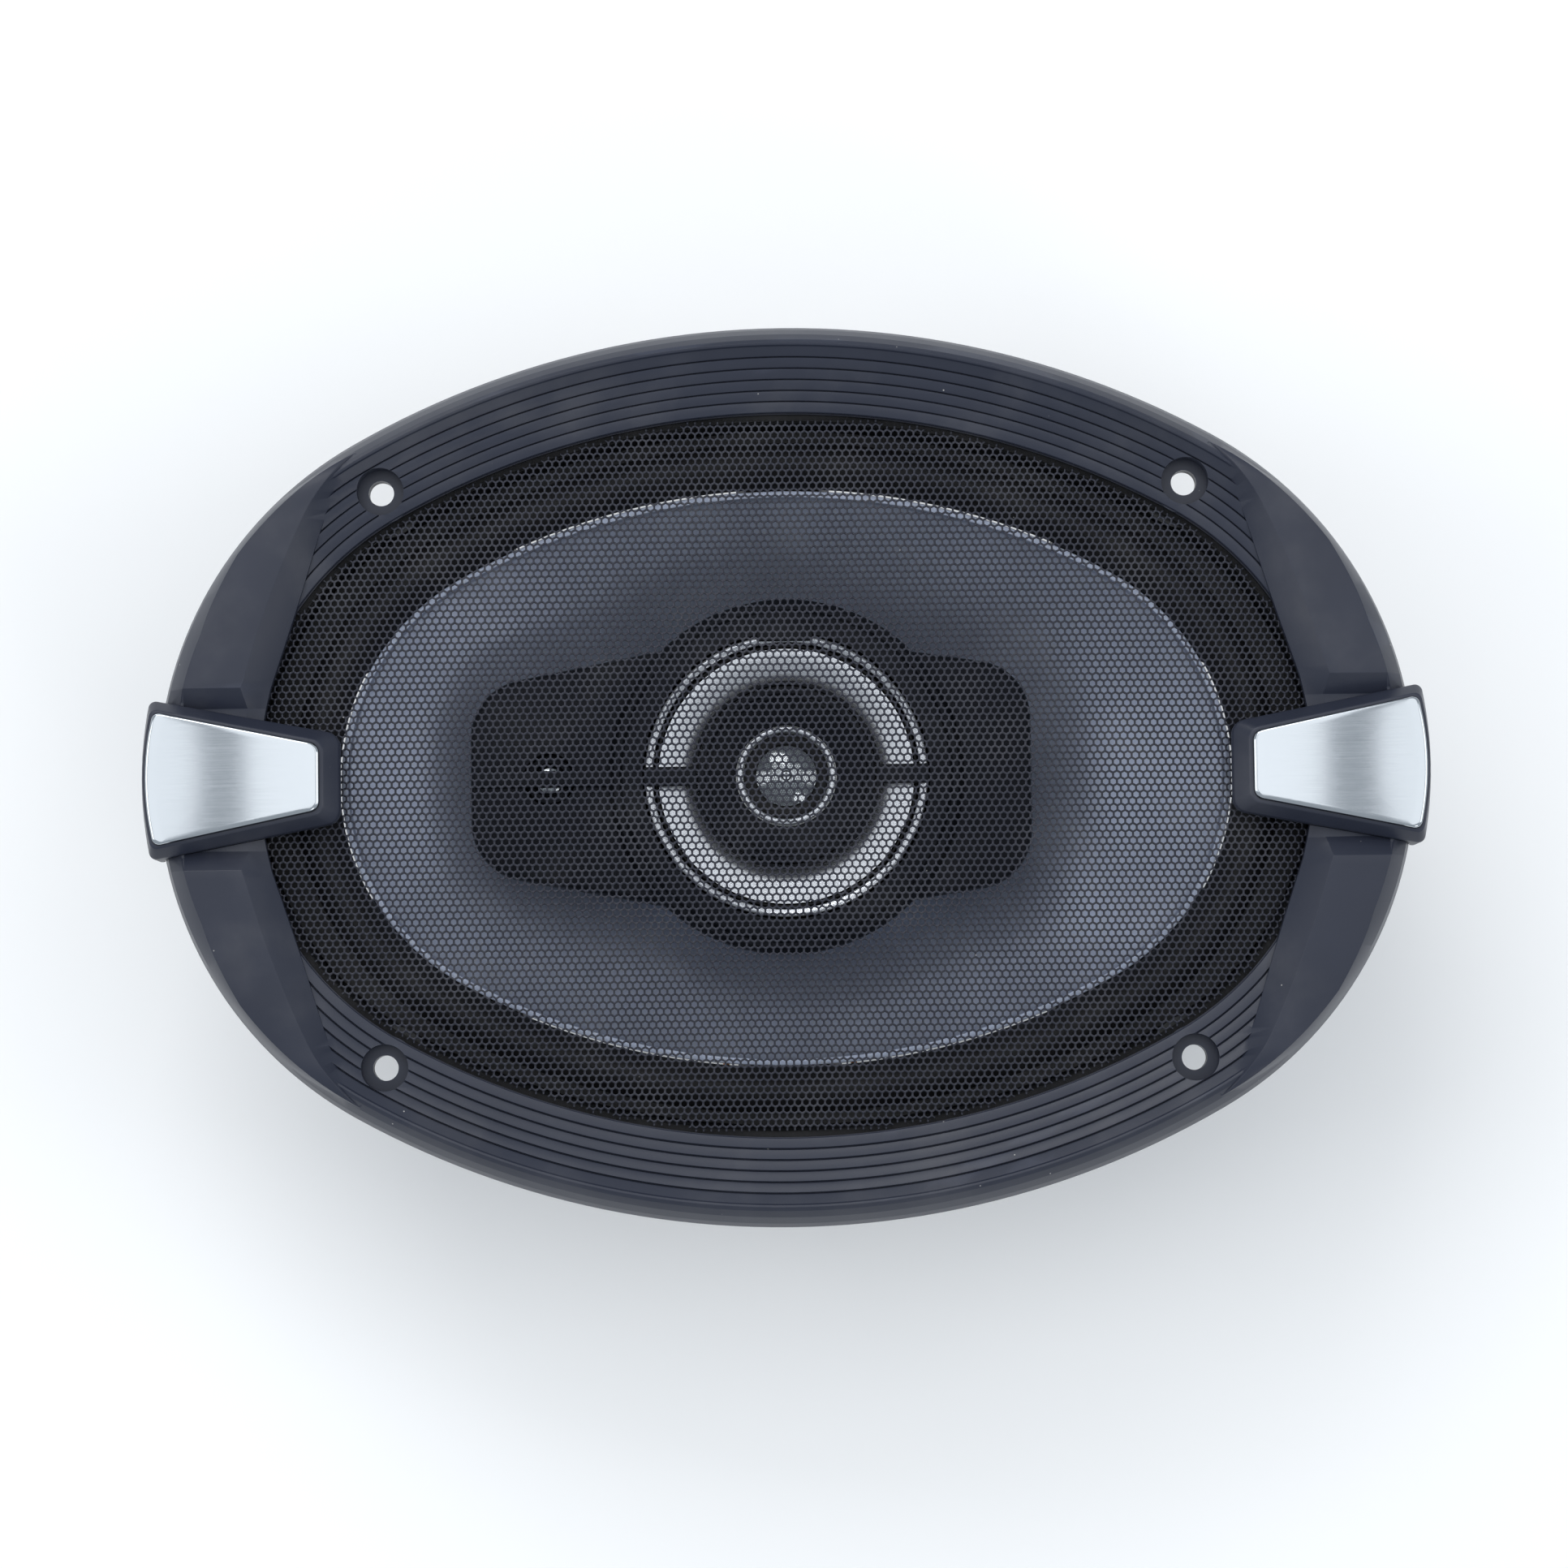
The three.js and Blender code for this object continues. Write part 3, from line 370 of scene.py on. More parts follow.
def hoop(name, section, fillet=0.3 * MM):
    """Oval hoop from a closed section of (half length, half width, z)."""
    section = filleted(section, fillet) if fillet else section
    return skinned(name, [oval_ring(*point) for point in section], True)


def turned(name, section, fillet=0.3 * MM, centre=(0, 0), count=ROUND_STEPS):
    """Round piece from a section of (radius, z), closed on itself unless it starts on the axis."""
    closed = section[0][0] > 0
    section = filleted(section, fillet, closed) if fillet else section
    rings = []
    for radius, z in section:
        outline = circle(radius, centre, count) if radius > 1e-7 else [centre]
        rings.append([(x, y, z) for x, y in outline])
    return skinned(name, rings, closed)


def stack(name, *levels):
    """Solid through outlines of equal count, each given as (outline, z)."""
    return skinned(name, [[(x, y, z) for x, y in outline] for outline, z in levels], False)


def block(name, lowest, highest):
    (x0, y0, z0), (x1, y1, z1) = lowest, highest
    outline = [(x0, y0), (x1, y0), (x1, y1), (x0, y1)]
    return stack(name, (outline, z0), (outline, z1))


def drum(name, radius, bottom, top, centre=(0, 0), count=48):
    outline = circle(radius, centre, count)
    return stack(name, (outline, bottom), (outline, top))


def spline(route, samples):
    """Points along a smooth curve through a route."""
    points = [Vector(point) for point in route]
    ends = [2 * points[0] - points[1], *points, 2 * points[-1] - points[-2]]
    made = []
    for i in range(len(points) - 1):
        a, b, c, d = ends[i : i + 4]
        for k in range(samples):
            t = k / samples
            cubic = (2 * b) + (c - a) * t + (2 * a - 5 * b + 4 * c - d) * t**2
            made.append((cubic + (3 * b - a - 3 * c + d) * t**3) / 2)
    return [*made, points[-1]]


def tube(name, route, radius):
    """Round wire along a smooth curve through a route."""
    path, sides = spline(route, 8), 12
    across = (path[1] - path[0]).orthogonal().normalized()
    rings = []
    for i, point in enumerate(path):
        along = (path[min(i + 1, len(path) - 1)] - path[max(i - 1, 0)]).normalized()
        across = (across - along * across.dot(along)).normalized()
        beside = along.cross(across)
        turns = [2 * math.pi * k / sides for k in range(sides)]
        rings.append([tuple(point + (across * math.cos(t) + beside * math.sin(t)) * radius) for t in turns])
    return skinned(name, rings, False)


def apply_modifiers(piece):
    before = piece.data
    evaluated = piece.evaluated_get(bpy.context.evaluated_depsgraph_get())
    after = bpy.data.meshes.new_from_object(evaluated)
    piece.modifiers.clear()
    piece.data = after
    bpy.data.meshes.remove(before)
    return piece


def combined(piece, tools, operation):
    for tool in tools:
        modifier = piece.modifiers.new("combine", "BOOLEAN")
        modifier.operation = operation
        modifier.solver = "MANIFOLD"
        modifier.object = tool
    apply_modifiers(piece)
    if not piece.data.polygons:
        raise RuntimeError(piece.name + " is empty after a boolean")
    for tool in tools:
        bpy.data.meshes.remove(tool.data)
    return piece


def cut(piece, *tools):
    return combined(piece, tools, "DIFFERENCE")


def joined(piece, *tools):
    return combined(piece, tools, "UNION")


def merged(piece, *others):
    """Puts the other pieces' meshes beside this one's, without cutting where they meet."""
    shape = bmesh.new()
    for part in (piece, *others):
        shape.from_mesh(part.data)
    shape.to_mesh(piece.data)
    shape.free()
    for other in others:
        bpy.data.meshes.remove(other.data)
    return piece


def bevelled(piece, width, segments=3, angle=30):
    modifier = piece.modifiers.new("bevel", "BEVEL")
    modifier.width = width
    modifier.segments = segments
    modifier.limit_method = "ANGLE"
    modifier.angle_limit = math.radians(angle)
    return apply_modifiers(piece)


def mirrored(piece, x, y):
    """Turns a piece into its mirror image in X, in Y or in both."""
    for vertex in piece.data.vertices:
        vertex.co.x *= x
        vertex.co.y *= y
    if x * y < 0:
        piece.data.flip_normals()
    return piece


def laid_along_x(piece, centre):
    """Lays a piece that was turned about Z along X, at a centre."""
    for vertex in piece.data.vertices:
        x, y, z = vertex.co
        vertex.co = (z + centre[0], y + centre[1], centre[2] - x)
    return piece


def dressed(piece, finish, body, *nodes):
    """Gives a piece its finish and its body, in place of the CAD nodes that it stands for."""
    piece.data.materials.clear()
    piece.data.materials.append(finish_named(finish))
    piece.data.shade_smooth()
    piece.data.set_sharp_from_angle(angle=SHARP)
    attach(piece, body)
    if nodes:
        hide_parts(*nodes)
    return piece


def flexing(piece, finish, body, inner, width, *nodes):
    """Dresses a piece for a body, then takes it off that body and bakes its place into its mesh, so it stays
    where it is.
    """
    dressed(piece, finish, body, *nodes)
    piece.parent = None
    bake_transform(piece)
    return piece


# ---------------------------------------------------------------- Shader nodes


def add(tree, kind, values=None, **settings):
    """Adds a node. Each value is a number, a colour or an output to link from."""
    node = tree.nodes.new(kind)
    for key, value in settings.items():
        setattr(node, key, value)
    for key, value in (values or {}).items():
        put(tree, node.inputs[key], value)
    return node


def put(tree, socket, value):
    if isinstance(value, bpy.types.NodeSocket):
        tree.links.new(value, socket)
    else:
        socket.default_value = value


def worked(tree, operation, *values):
    node = tree.nodes.new("ShaderNodeMath")
    node.operation = operation
    for i, value in enumerate(values):
        put(tree, node.inputs[i], value)
    return node.outputs[0]


def blended(tree, factor, first, second, way="MIX"):
    node = tree.nodes.new("ShaderNodeMix")
    node.data_type = "RGBA"
    node.blend_type = way
    put(tree, node.inputs[0], factor)
    put(tree, node.inputs[6], first)
    put(tree, node.inputs[7], second)
    return node.outputs[2]


def stepped(tree, value, start, end):
    """0 before start, 1 after end and smooth between them."""
    values = {"Value": value, "From Min": start, "From Max": end}
    return add(tree, "ShaderNodeMapRange", values, interpolation_type="SMOOTHSTEP").outputs[0]


def group_tree(name, inputs, outputs):
    """A new shader node group with its named sockets. An input is (name, default)."""
    tree = bpy.data.node_groups.new(name, "ShaderNodeTree")
    for socket_name, default in inputs:
        kind = "NodeSocketColor" if isinstance(default, tuple) else "NodeSocketFloat"
        socket = tree.interface.new_socket(name=socket_name, in_out="INPUT", socket_type=kind)
        socket.default_value = default
    for socket_name in outputs:
        kind = "NodeSocketColor" if socket_name == "Colour" else "NodeSocketFloat"
        tree.interface.new_socket(name=socket_name, in_out="OUTPUT", socket_type=kind)
    return tree, tree.nodes.new("NodeGroupInput").outputs, tree.nodes.new("NodeGroupOutput").inputs


GREY = (0.5, 0.5, 0.5, 1.0)


def grain_group():
    """Fine moulded or cast grain with broad patches of shade and gloss."""
    inputs = [("Colour", GREY), ("Shade", 0.2), ("Roughness", 0.5), ("Spread", 0.1), ("Scale", 2500.0)]
    tree, given, out = group_tree("Surface grain", inputs, ["Colour", "Roughness", "Height"])
    place = add(tree, "ShaderNodeTexCoord").outputs["Object"]
    fine = add(tree, "ShaderNodeTexNoise", {"Vector": place, "Scale": given["Scale"], "Detail": 3.0})
    wide_scale = worked(tree, "MULTIPLY", given["Scale"], 0.03)
    wide = add(tree, "ShaderNodeTexNoise", {"Vector": place, "Scale": wide_scale, "Detail": 4.0})
    both = worked(tree, "ADD", worked(tree, "MULTIPLY", fine.outputs[0], 0.35), wide.outputs[0])
    swing = worked(tree, "SUBTRACT", both, 0.675)
    shade = worked(tree, "ADD", 1.0, worked(tree, "MULTIPLY", swing, given["Shade"]))
    tint = add(tree, "ShaderNodeCombineColor", {"Red": shade, "Green": shade, "Blue": shade}).outputs[0]
    tree.links.new(blended(tree, 1.0, given["Colour"], tint, "MULTIPLY"), out["Colour"])
    gloss = worked(tree, "ADD", given["Roughness"], worked(tree, "MULTIPLY", swing, given["Spread"]))
    tree.links.new(gloss, out["Roughness"])
    tree.links.new(fine.outputs[0], out["Height"])
    return tree


def dust_group():
    """A few specks of dust on the faces that look up."""
    inputs = [("Colour", GREY), ("Roughness", 0.5), ("Dust", GREY), ("Amount", 0.03)]
    tree, given, out = group_tree("Dust specks", inputs, ["Colour", "Roughness"])
    place = add(tree, "ShaderNodeTexCoord").outputs["Object"]
    normal = add(tree, "ShaderNodeNewGeometry").outputs["Normal"]
    up = stepped(tree, add(tree, "ShaderNodeSeparateXYZ", {0: normal}).outputs["Z"], 0.2, 0.6)
    cells = add(tree, "ShaderNodeTexVoronoi", {"Vector": place, "Scale": 420.0})
    chance = add(tree, "ShaderNodeSeparateColor", {0: cells.outputs["Color"]}).outputs[0]
    picked = worked(tree, "LESS_THAN", chance, given["Amount"])
    near = worked(tree, "SUBTRACT", 1.0, stepped(tree, cells.outputs["Distance"], 0.03, 0.09))
    film = add(tree, "ShaderNodeTexNoise", {"Vector": place, "Scale": 60.0, "Detail": 5.0}).outputs[0]
    haze = worked(tree, "MULTIPLY", stepped(tree, film, 0.45, 0.8), 0.05)
    speck = worked(tree, "MULTIPLY", picked, near)
    mask = worked(tree, "MULTIPLY", worked(tree, "MAXIMUM", speck, haze), up)
    tree.links.new(blended(tree, mask, given["Colour"], given["Dust"]), out["Colour"])
    duller = worked(tree, "ADD", given["Roughness"], worked(tree, "MULTIPLY", mask, 0.3))
    tree.links.new(duller, out["Roughness"])
    return tree


def edge_wear_and_highlight_group():
    """Lighter colour where a surface turns over an edge: partly worn edges, partly a painted edge highlight.
    """
    inputs = [("Colour", GREY), ("Edge", GREY), ("Amount", 0.3)]
    tree, given, out = group_tree("Worn_and_highlit edges", inputs, ["Colour"])
    place = add(tree, "ShaderNodeTexCoord").outputs["Object"]
    # Pointed, convex edges get the lighter colour: partly wear, partly a painted edge highlight.
    turn = stepped(tree, add(tree, "ShaderNodeNewGeometry").outputs["Pointiness"], 0.52, 0.62)
    patch = add(tree, "ShaderNodeTexNoise", {"Vector": place, "Scale": 180.0, "Detail": 4.0}).outputs[0]
    mask = worked(tree, "MULTIPLY", worked(tree, "MULTIPLY", turn, patch), given["Amount"])
    tree.links.new(blended(tree, mask, given["Colour"], given["Edge"]), out["Colour"])
    return tree


def brushed_group():
    """Fine parallel brush lines along X."""
    inputs = [("Roughness", 0.2), ("Spread", 0.15), ("Scale", 6000.0)]
    tree, given, out = group_tree("Brush lines", inputs, ["Roughness", "Height"])
    place = add(tree, "ShaderNodeTexCoord").outputs["Object"]
    drawn = add(tree, "ShaderNodeMapping", {"Vector": place, "Scale": (0.012, 1.0, 1.0)}).outputs[0]
    lines = add(tree, "ShaderNodeTexNoise", {"Vector": drawn, "Scale": given["Scale"], "Detail": 4.0})
    swing = worked(tree, "SUBTRACT", lines.outputs[0], 0.5)
    gloss = worked(tree, "ADD", given["Roughness"], worked(tree, "MULTIPLY", swing, given["Spread"]))
    tree.links.new(gloss, out["Roughness"])
    tree.links.new(lines.outputs[0], out["Height"])
    return tree


def weave_group():
    """Threads that pass over and under each other in the XY plane."""
    inputs = [("Scale", 900.0)]
    tree, given, out = group_tree("Plain weave", inputs, ["Height"])
    place = add(tree, "ShaderNodeTexCoord").outputs["Object"]
    axes = add(tree, "ShaderNodeSeparateXYZ", {0: place}).outputs
    waves = []
    for axis in "XY":
        turn = worked(tree, "MULTIPLY", axes[axis], worked(tree, "MULTIPLY", given["Scale"], math.pi))
        waves.append(worked(tree, "SINE", turn))
    over = worked(tree, "MULTIPLY", *waves)
    crossed = worked(tree, "ADD", worked(tree, "ABSOLUTE", waves[0]), worked(tree, "ABSOLUTE", waves[1]))
    height = worked(tree, "ADD", worked(tree, "MULTIPLY", over, 0.25), worked(tree, "MULTIPLY", crossed, 0.4))
    tree.links.new(height, out["Height"])
    return tree


GROUPS = {
    "grain": grain_group,
    "dust": dust_group,
    "edge": edge_wear_and_highlight_group,
    "brushed": brushed_group,
    "weave": weave_group,
}
BUILT_GROUPS = {}


def grouped(tree, kind, values):
    """Places one of the shared groups, building it the first time."""
    if kind not in BUILT_GROUPS:
        BUILT_GROUPS[kind] = GROUPS[kind]()
    node = tree.nodes.new("ShaderNodeGroup")
    node.node_tree = BUILT_GROUPS[kind]
    for key, value in values.items():
        put(tree, node.inputs[key], value)
    return node.outputs


def bumped(tree, height, strength, distance):
    values = {"Height": height, "Strength": strength, "Distance": distance}
    return add(tree, "ShaderNodeBump", values).outputs["Normal"]


def material_tree(name, **constants):
    """A new material with its Principled shader and the constants set on the shader's own sockets."""
    material = bpy.data.materials.new(name + "_finish")
    material.use_nodes = True
    shader = material.node_tree.nodes["Principled BSDF"]
    for key, value in constants.items():
        shader.inputs[key.replace("_", " ")].default_value = value
    return material, material.node_tree, shader.inputs


def base_colour(name):
    return (*getattr(bpy.context.scene.speaker_colours, name), 1.0)


def grained(tree, name, shade, roughness, spread, scale):
    """The grain group over a finish's base colour."""
    values = {"Colour": base_colour(name), "Shade": shade, "Roughness": roughness}
    return grouped(tree, "grain", values | {"Spread": spread, "Scale": scale})


def feed(tree, shader, colour, roughness, normal):
    """Links what changes over the surface to a finish's shader."""
    for key, value in (("Base Color", colour), ("Roughness", roughness), ("Normal", normal)):
        tree.links.new(value, shader[key])


def coated(name, roughness, scale, bump=0.25, dust=0.02, edge=0.25, shade=0.25, spread=0.12, **constants):
    """Moulded plastic or coated steel: grain, lighter edges (partly wear, partly a painted edge highlight)
    and dust.
    """
    material, tree, shader = material_tree(name, **constants)
    grain = grained(tree, name, shade, roughness, spread, scale)
    # Lighter colour for the edges: partly wear, partly a painted edge highlight.
    edge_wear_and_highlight_colour = tuple(min(1.0, value * 3 + 0.03) for value in base_colour(name)[:3]) + (1.0,)
    edge_wear_and_highlight = grouped(tree, "edge", {"Colour": grain["Colour"], "Edge": edge_wear_and_highlight_colour, "Amount": edge})
    values = {"Colour": edge_wear_and_highlight["Colour"], "Roughness": grain["Roughness"]}
    dusty = grouped(tree, "dust", values | {"Dust": base_colour("dust"), "Amount": dust})
    normal = bumped(tree, grain["Height"], bump, 0.04 * MM)
    feed(tree, shader, dusty["Colour"], dusty["Roughness"], normal)
    return material


def polished(name, roughness, spread, bump, scale=3000.0, shade=0.25, metallic=1.0):
    """Bare or plated metal with fine lines."""
    material, tree, shader = material_tree(name, Metallic=metallic)
    lines = grouped(tree, "brushed", {"Roughness": roughness, "Spread": spread, "Scale": scale})
    grain = grained(tree, name, shade, lines["Roughness"], spread / 2, 900.0)
    normal = bumped(tree, lines["Height"], bump, 0.02 * MM)
    feed(tree, shader, grain["Colour"], grain["Roughness"], normal)
    return material


def woven(name, roughness, scale):
    """Dipped cloth, with painted shade where the threads dip under each other."""
    material, tree, shader = material_tree(name)
    weave = grouped(tree, "weave", {"Scale": scale})
    grain = grained(tree, name, 0.5, roughness, 0.15, scale)
    # Painted shade: the weave's low parts are darkened.
    painted_groove_shade = blended(tree, 1.0, grain["Colour"], (0.45, 0.42, 0.38, 1.0), "MULTIPLY")
    colour = blended(tree, weave["Height"], painted_groove_shade, grain["Colour"])
    feed(tree, shader, colour, grain["Roughness"], bumped(tree, weave["Height"], 0.8, 0.1 * MM))
    return material


def flecked(name, roughness, scale):
    """Grey filled cone with a satin coat and fine flecks."""
    material, tree, shader = material_tree(name, Metallic=0.5)
    grain = grained(tree, name, 0.3, roughness, 0.12, scale)
    place = add(tree, "ShaderNodeTexCoord").outputs["Object"]
    flecks = add(tree, "ShaderNodeTexVoronoi", {"Vector": place, "Scale": 2600.0}).outputs["Color"]
    bright = stepped(tree, add(tree, "ShaderNodeSeparateColor", {0: flecks}).outputs[0], 0.8, 1.0)
    lit = blended(tree, worked(tree, "MULTIPLY", bright, 0.5), grain["Colour"], (0.6, 0.62, 0.64, 1.0))
    feed(tree, shader, lit, grain["Roughness"], bumped(tree, grain["Height"], 0.3, 0.05 * MM))
    return material


def wound(name, roughness, scale):
    """Enamelled wire wound in turns along Z, with painted shade in the grooves between the turns."""
    material, tree, shader = material_tree(name, Metallic=0.9, Coat_Weight=0.4)
    place = add(tree, "ShaderNodeTexCoord").outputs["Object"]
    height = add(tree, "ShaderNodeSeparateXYZ", {0: place}).outputs["Z"]
    wire = bpy.context.scene.speaker_driver.coil_wire
    turns = worked(tree, "ABSOLUTE", worked(tree, "SINE", worked(tree, "MULTIPLY", height, math.pi / wire)))
    grain = grained(tree, name, 0.3, roughness, 0.2, scale)
    # Painted shade: the grooves between the wire turns are darkened.
    painted_groove_shade = blended(tree, 1.0, grain["Colour"], (0.3, 0.25, 0.2, 1.0), "MULTIPLY")
    colour = blended(tree, turns, painted_groove_shade, grain["Colour"])
    feed(tree, shader, colour, grain["Roughness"], bumped(tree, turns, 0.6, wire / 4))
    return material


COOL = (0.80, 0.82, 1.0, 1.0)  # tint of the shine on the black coats
# edge sets how much lighter the edges are: partly wear, partly a painted edge highlight.
FINISHES = {
    "black_plastic": (coated, dict(roughness=0.36, scale=2500.0, dust=0.035, Specular_IOR_Level=0.3)),
    "matte_plastic": (
        coated, dict(roughness=0.5, scale=3000.0, Specular_IOR_Level=0.25, Specular_Tint=COOL)
    ),
    "grille_steel": (
        coated, dict(roughness=0.42, scale=1600.0, dust=0.01, edge=0.15, Specular_Tint=COOL)
    ),
    "basket_steel": (coated, dict(roughness=0.4, scale=1200.0, bump=0.3, dust=0.03)),
    "plate_steel": (coated, dict(roughness=0.38, scale=1500.0, dust=0.03, edge=0.5, Metallic=0.5)),
    "ferrite": (coated, dict(roughness=0.62, scale=1400.0, bump=0.6, edge=0.6, shade=0.5, spread=0.25)),
    "rubber": (coated, dict(roughness=0.68, scale=2200.0, bump=0.35, dust=0.03, edge=0.1)),
    "kapton": (coated, dict(roughness=0.3, scale=900.0, bump=0.1, edge=0.0, shade=0.3)),
    "fibreboard": (coated, dict(roughness=0.75, scale=2000.0, bump=0.6, edge=0.2, shade=0.7)),
    "foam": (coated, dict(roughness=0.95, scale=2600.0, bump=1.0, edge=0.1, shade=0.6)),
    "bright_metal": (polished, dict(roughness=0.09, spread=0.08, bump=0.06, scale=6000.0, shade=0.08)),
    "satin_metal": (
        polished, dict(roughness=0.27, spread=0.1, bump=0.1, scale=2500.0, shade=0.08, metallic=0.85)
    ),
    "plated_steel": (polished, dict(roughness=0.3, spread=0.2, bump=0.3)),
    "brass": (polished, dict(roughness=0.28, spread=0.2, bump=0.3, shade=0.3)),
    "mica_cone": (flecked, dict(roughness=0.36, scale=1800.0)),
    "cloth": (woven, dict(roughness=0.8, scale=1400.0)),
    "copper": (wound, dict(roughness=0.35, scale=1500.0)),
}
MIXED = {}


def finish_named(name):
    """The finish's material, mixed the first time that it is used."""
    if name not in MIXED:
        make, settings = FINISHES[name]
        MIXED[name] = make(name, **settings)
    return MIXED[name]


# ---------------------------------------------------------------- Motor, basket and terminals

MAGNET = mm((45, 28, 6.3, 21.3))[0]  # outer and inner radius, bottom and top
TOP_PLATE = mm((43, 14, 21.6, 26.6))[0]
RIVET_CIRCLE = 34 * MM
LANDING = grown(TRIM, -20.4 * MM)  # oval ledge that the surround is glued to
FLANGE = grown(TRIM, -10.5 * MM)
LANDING_Z = 75.5 * MM
SHEET = 1.5 * MM
SCREW_PITCH = mm((165, 118))[0]
SCREW_PLACES = [(x * SCREW_PITCH[0] / 2, y * SCREW_PITCH[1] / 2) for x in (-1, 1) for y in (-1, 1)]
SCREW_HOLE = 2.6 * MM
EYELET_X, EYELET_Z = 12.2 * MM, 48.2 * MM
WALL_FOOT = mm((56, 54, 36.6))[0]  # outside of the basket's slanted wall
WALL_HEAD = mm((104, 69, 73.8))[0]


class MakeMotor(Operator):
    """Back plate with its pole, ring magnet and top plate"""

    bl_idname = "speaker.motor"
    bl_label = "Magnet and plates"

    def execute(self, context):
        section = mm(
            (2.6, 3), (6.5, 3), (6.5, 0), (30, 0), (30.6, 0.5), (32.4, 0.5), (33, 0), (43.8, 0), (45, 1.2),
            (45, 4.8), (43.8, 6), (13.1, 6), (12.3, 6.8), (12.3, 25.8), (11.5, 26.6), (2.6, 26.6),
        )
        plate = turned("back_plate_and_pole", section, 0.5 * MM, count=FINE_STEPS)
        dressed(plate, "plate_steel", FIXED, "back_plate_with_pole")
        outer, inner, bottom, top = MAGNET
        edge = 1.3 * MM
        section = [
            (inner, bottom), (outer - edge, bottom), (outer, bottom + edge), (outer, top - edge),
            (outer - edge, top), (inner, top),
        ]
        magnet = turned("ring_magnet", section, 0.5 * MM, count=FINE_STEPS)
        dressed(magnet, "ferrite", FIXED, "ferrite_magnet")
        outer, inner, bottom, top = TOP_PLATE
        section = [(inner, bottom), (outer, bottom), (outer, top), (inner, top)]
        dressed(turned("front_plate", section, 0.8 * MM, count=FINE_STEPS), "plate_steel", FIXED, "top_plate")
        return {"FINISHED"}


class MakeFixings(Operator):
    """Domed rivets through the basket's foot and the pod's screw in the back plate"""

    bl_idname = "speaker.fixings"
    bl_label = "Rivets and screw"

    def execute(self, context):
        seat = TOP_PLATE[3] + GAP + SHEET + GAP
        for i in range(4):
            turn = math.pi / 4 + i * math.pi / 2
            centre = (RIVET_CIRCLE * math.cos(turn), RIVET_CIRCLE * math.sin(turn))
            section = [(0, seat - 2 * MM), (1.8 * MM, seat - 2 * MM), (1.8 * MM, seat), (3.4 * MM, seat)]
            section += [(3.3 * MM, seat + 0.6 * MM), (2.3 * MM, seat + 1.25 * MM), (0, seat + 1.5 * MM)]
            rivet = turned(f"rivet_{i + 1}", section, 0.4 * MM, centre, 32)
            dressed(rivet, "plated_steel", FIXED, f"basket_rivet_{i + 1}")
        section = mm((0, 0.5), (4.2, 0.5), (4.8, 1.2), (4.8, 2.7), (2, 2.7), (2, 41), (0, 41))
        screw = turned("pod_screw_head", section, 0.3 * MM, count=48)
        width, reach, floor = 0.55 * MM, 3 * MM, 1.6 * MM
        slots = [
            block("slot", (-x, -y, -MM), (x, y, floor)) for x, y in ((reach, width), (width, reach))
        ]
        dressed(cut(screw, joined(*slots)), "plated_steel", FIXED, "pod_screw")
        return {"FINISHED"}


class MakeBasket(Operator):
    """Pressed steel basket with its windows, ledges, flange and screw ears"""

    bl_idname = "speaker.basket"
    bl_label = "Basket"

    def execute(self, context):
        foot, ledge = TOP_PLATE[3] + GAP, 35.1 * MM
        section = [
            (20 * MM, 20 * MM, foot),
            (41.5 * MM, 41.5 * MM, foot),
            (45 * MM, 45 * MM, foot + 2.6 * MM),
            (46 * MM, 46 * MM, ledge - SHEET),
            (52.5 * MM, 52.5 * MM, ledge - SHEET),
            WALL_FOOT,
            WALL_HEAD,
            (*grown(LANDING, 1.6 * MM), LANDING_Z - SHEET),
            (*grown(LANDING, 2.2 * MM), FLANGE_Z),
            (*FLANGE, FLANGE_Z),
            (*FLANGE, FLANGE_Z + SHEET),
            (*grown(LANDING, 0.6 * MM), FLANGE_Z + SHEET),
            (*LANDING, LANDING_Z),
            (*grown(WALL_HEAD, -2 * MM), LANDING_Z),
            (WALL_FOOT[0] - 2.1 * MM, WALL_FOOT[1] - 1.9 * MM, WALL_FOOT[2] + 1.6 * MM),
            (52 * MM, 52 * MM, ledge),
            (44.6 * MM, 44.6 * MM, ledge),
            (43.4 * MM, 43.4 * MM, foot + 3 * MM),
            (40.8 * MM, 40.8 * MM, foot + SHEET),
            (20 * MM, 20 * MM, foot + SHEET),
        ]
        basket = hoop("pressed_basket", section, 0.7 * MM)
        ears, tools = [], []
        for i, place in enumerate(SCREW_PLACES):
            ears.append(drum(f"ear_{i}", 9 * MM, FLANGE_Z, FLANGE_Z + SHEET, place, 64))
            tools.append(drum(f"hole_{i}", SCREW_HOLE, FLANGE_Z - MM, FLANGE_Z + 3 * MM, place))
        for degrees in range(0, 360, 60):
            tools.append(self.window(degrees, (69 if degrees % 180 else 70) * MM))
        cut(joined(basket, *ears), *tools)
        dressed(basket, "basket_steel", FIXED, "basket")
        return {"FINISHED"}

    def window(self, degrees, top):
        """Tool for one window: a rounded trapezium swept outwards."""
        bottom, low_half, high_half, corner = 41 * MM, 18 * MM, 26 * MM, 5 * MM
        places = ((-low_half, bottom), (low_half, bottom), (high_half, top), (-high_half, top))
        outline = rounded([(*place, corner) for place in places])
        turn = math.radians(degrees)
        c, s = math.cos(turn), math.sin(turn)
        rings = []
        for reach in (30 * MM, 140 * MM):
            rings.append([(reach * c - side * s, reach * s + side * c, z) for side, z in outline])
        return skinned("window", rings, False)


class MakeGasket(Operator):
    """Foam strip between the flange and the trim ring"""

    bl_idname = "speaker.gasket"
    bl_label = "Front gasket"

    def execute(self, context):
        bottom, width, height = FLANGE_Z + SHEET + GAP, 2.6 * MM, 1.6 * MM
        inner = grown(LANDING, 0.8 * MM)
        outer, top = grown(inner, width), bottom + height
        section = [(*inner, bottom), (*outer, bottom), (*outer, top), (*inner, top)]
        dressed(hoop("foam_gasket", section, 0.5 * MM), "foam", FIXED, "front_gasket")
        return {"FINISHED"}


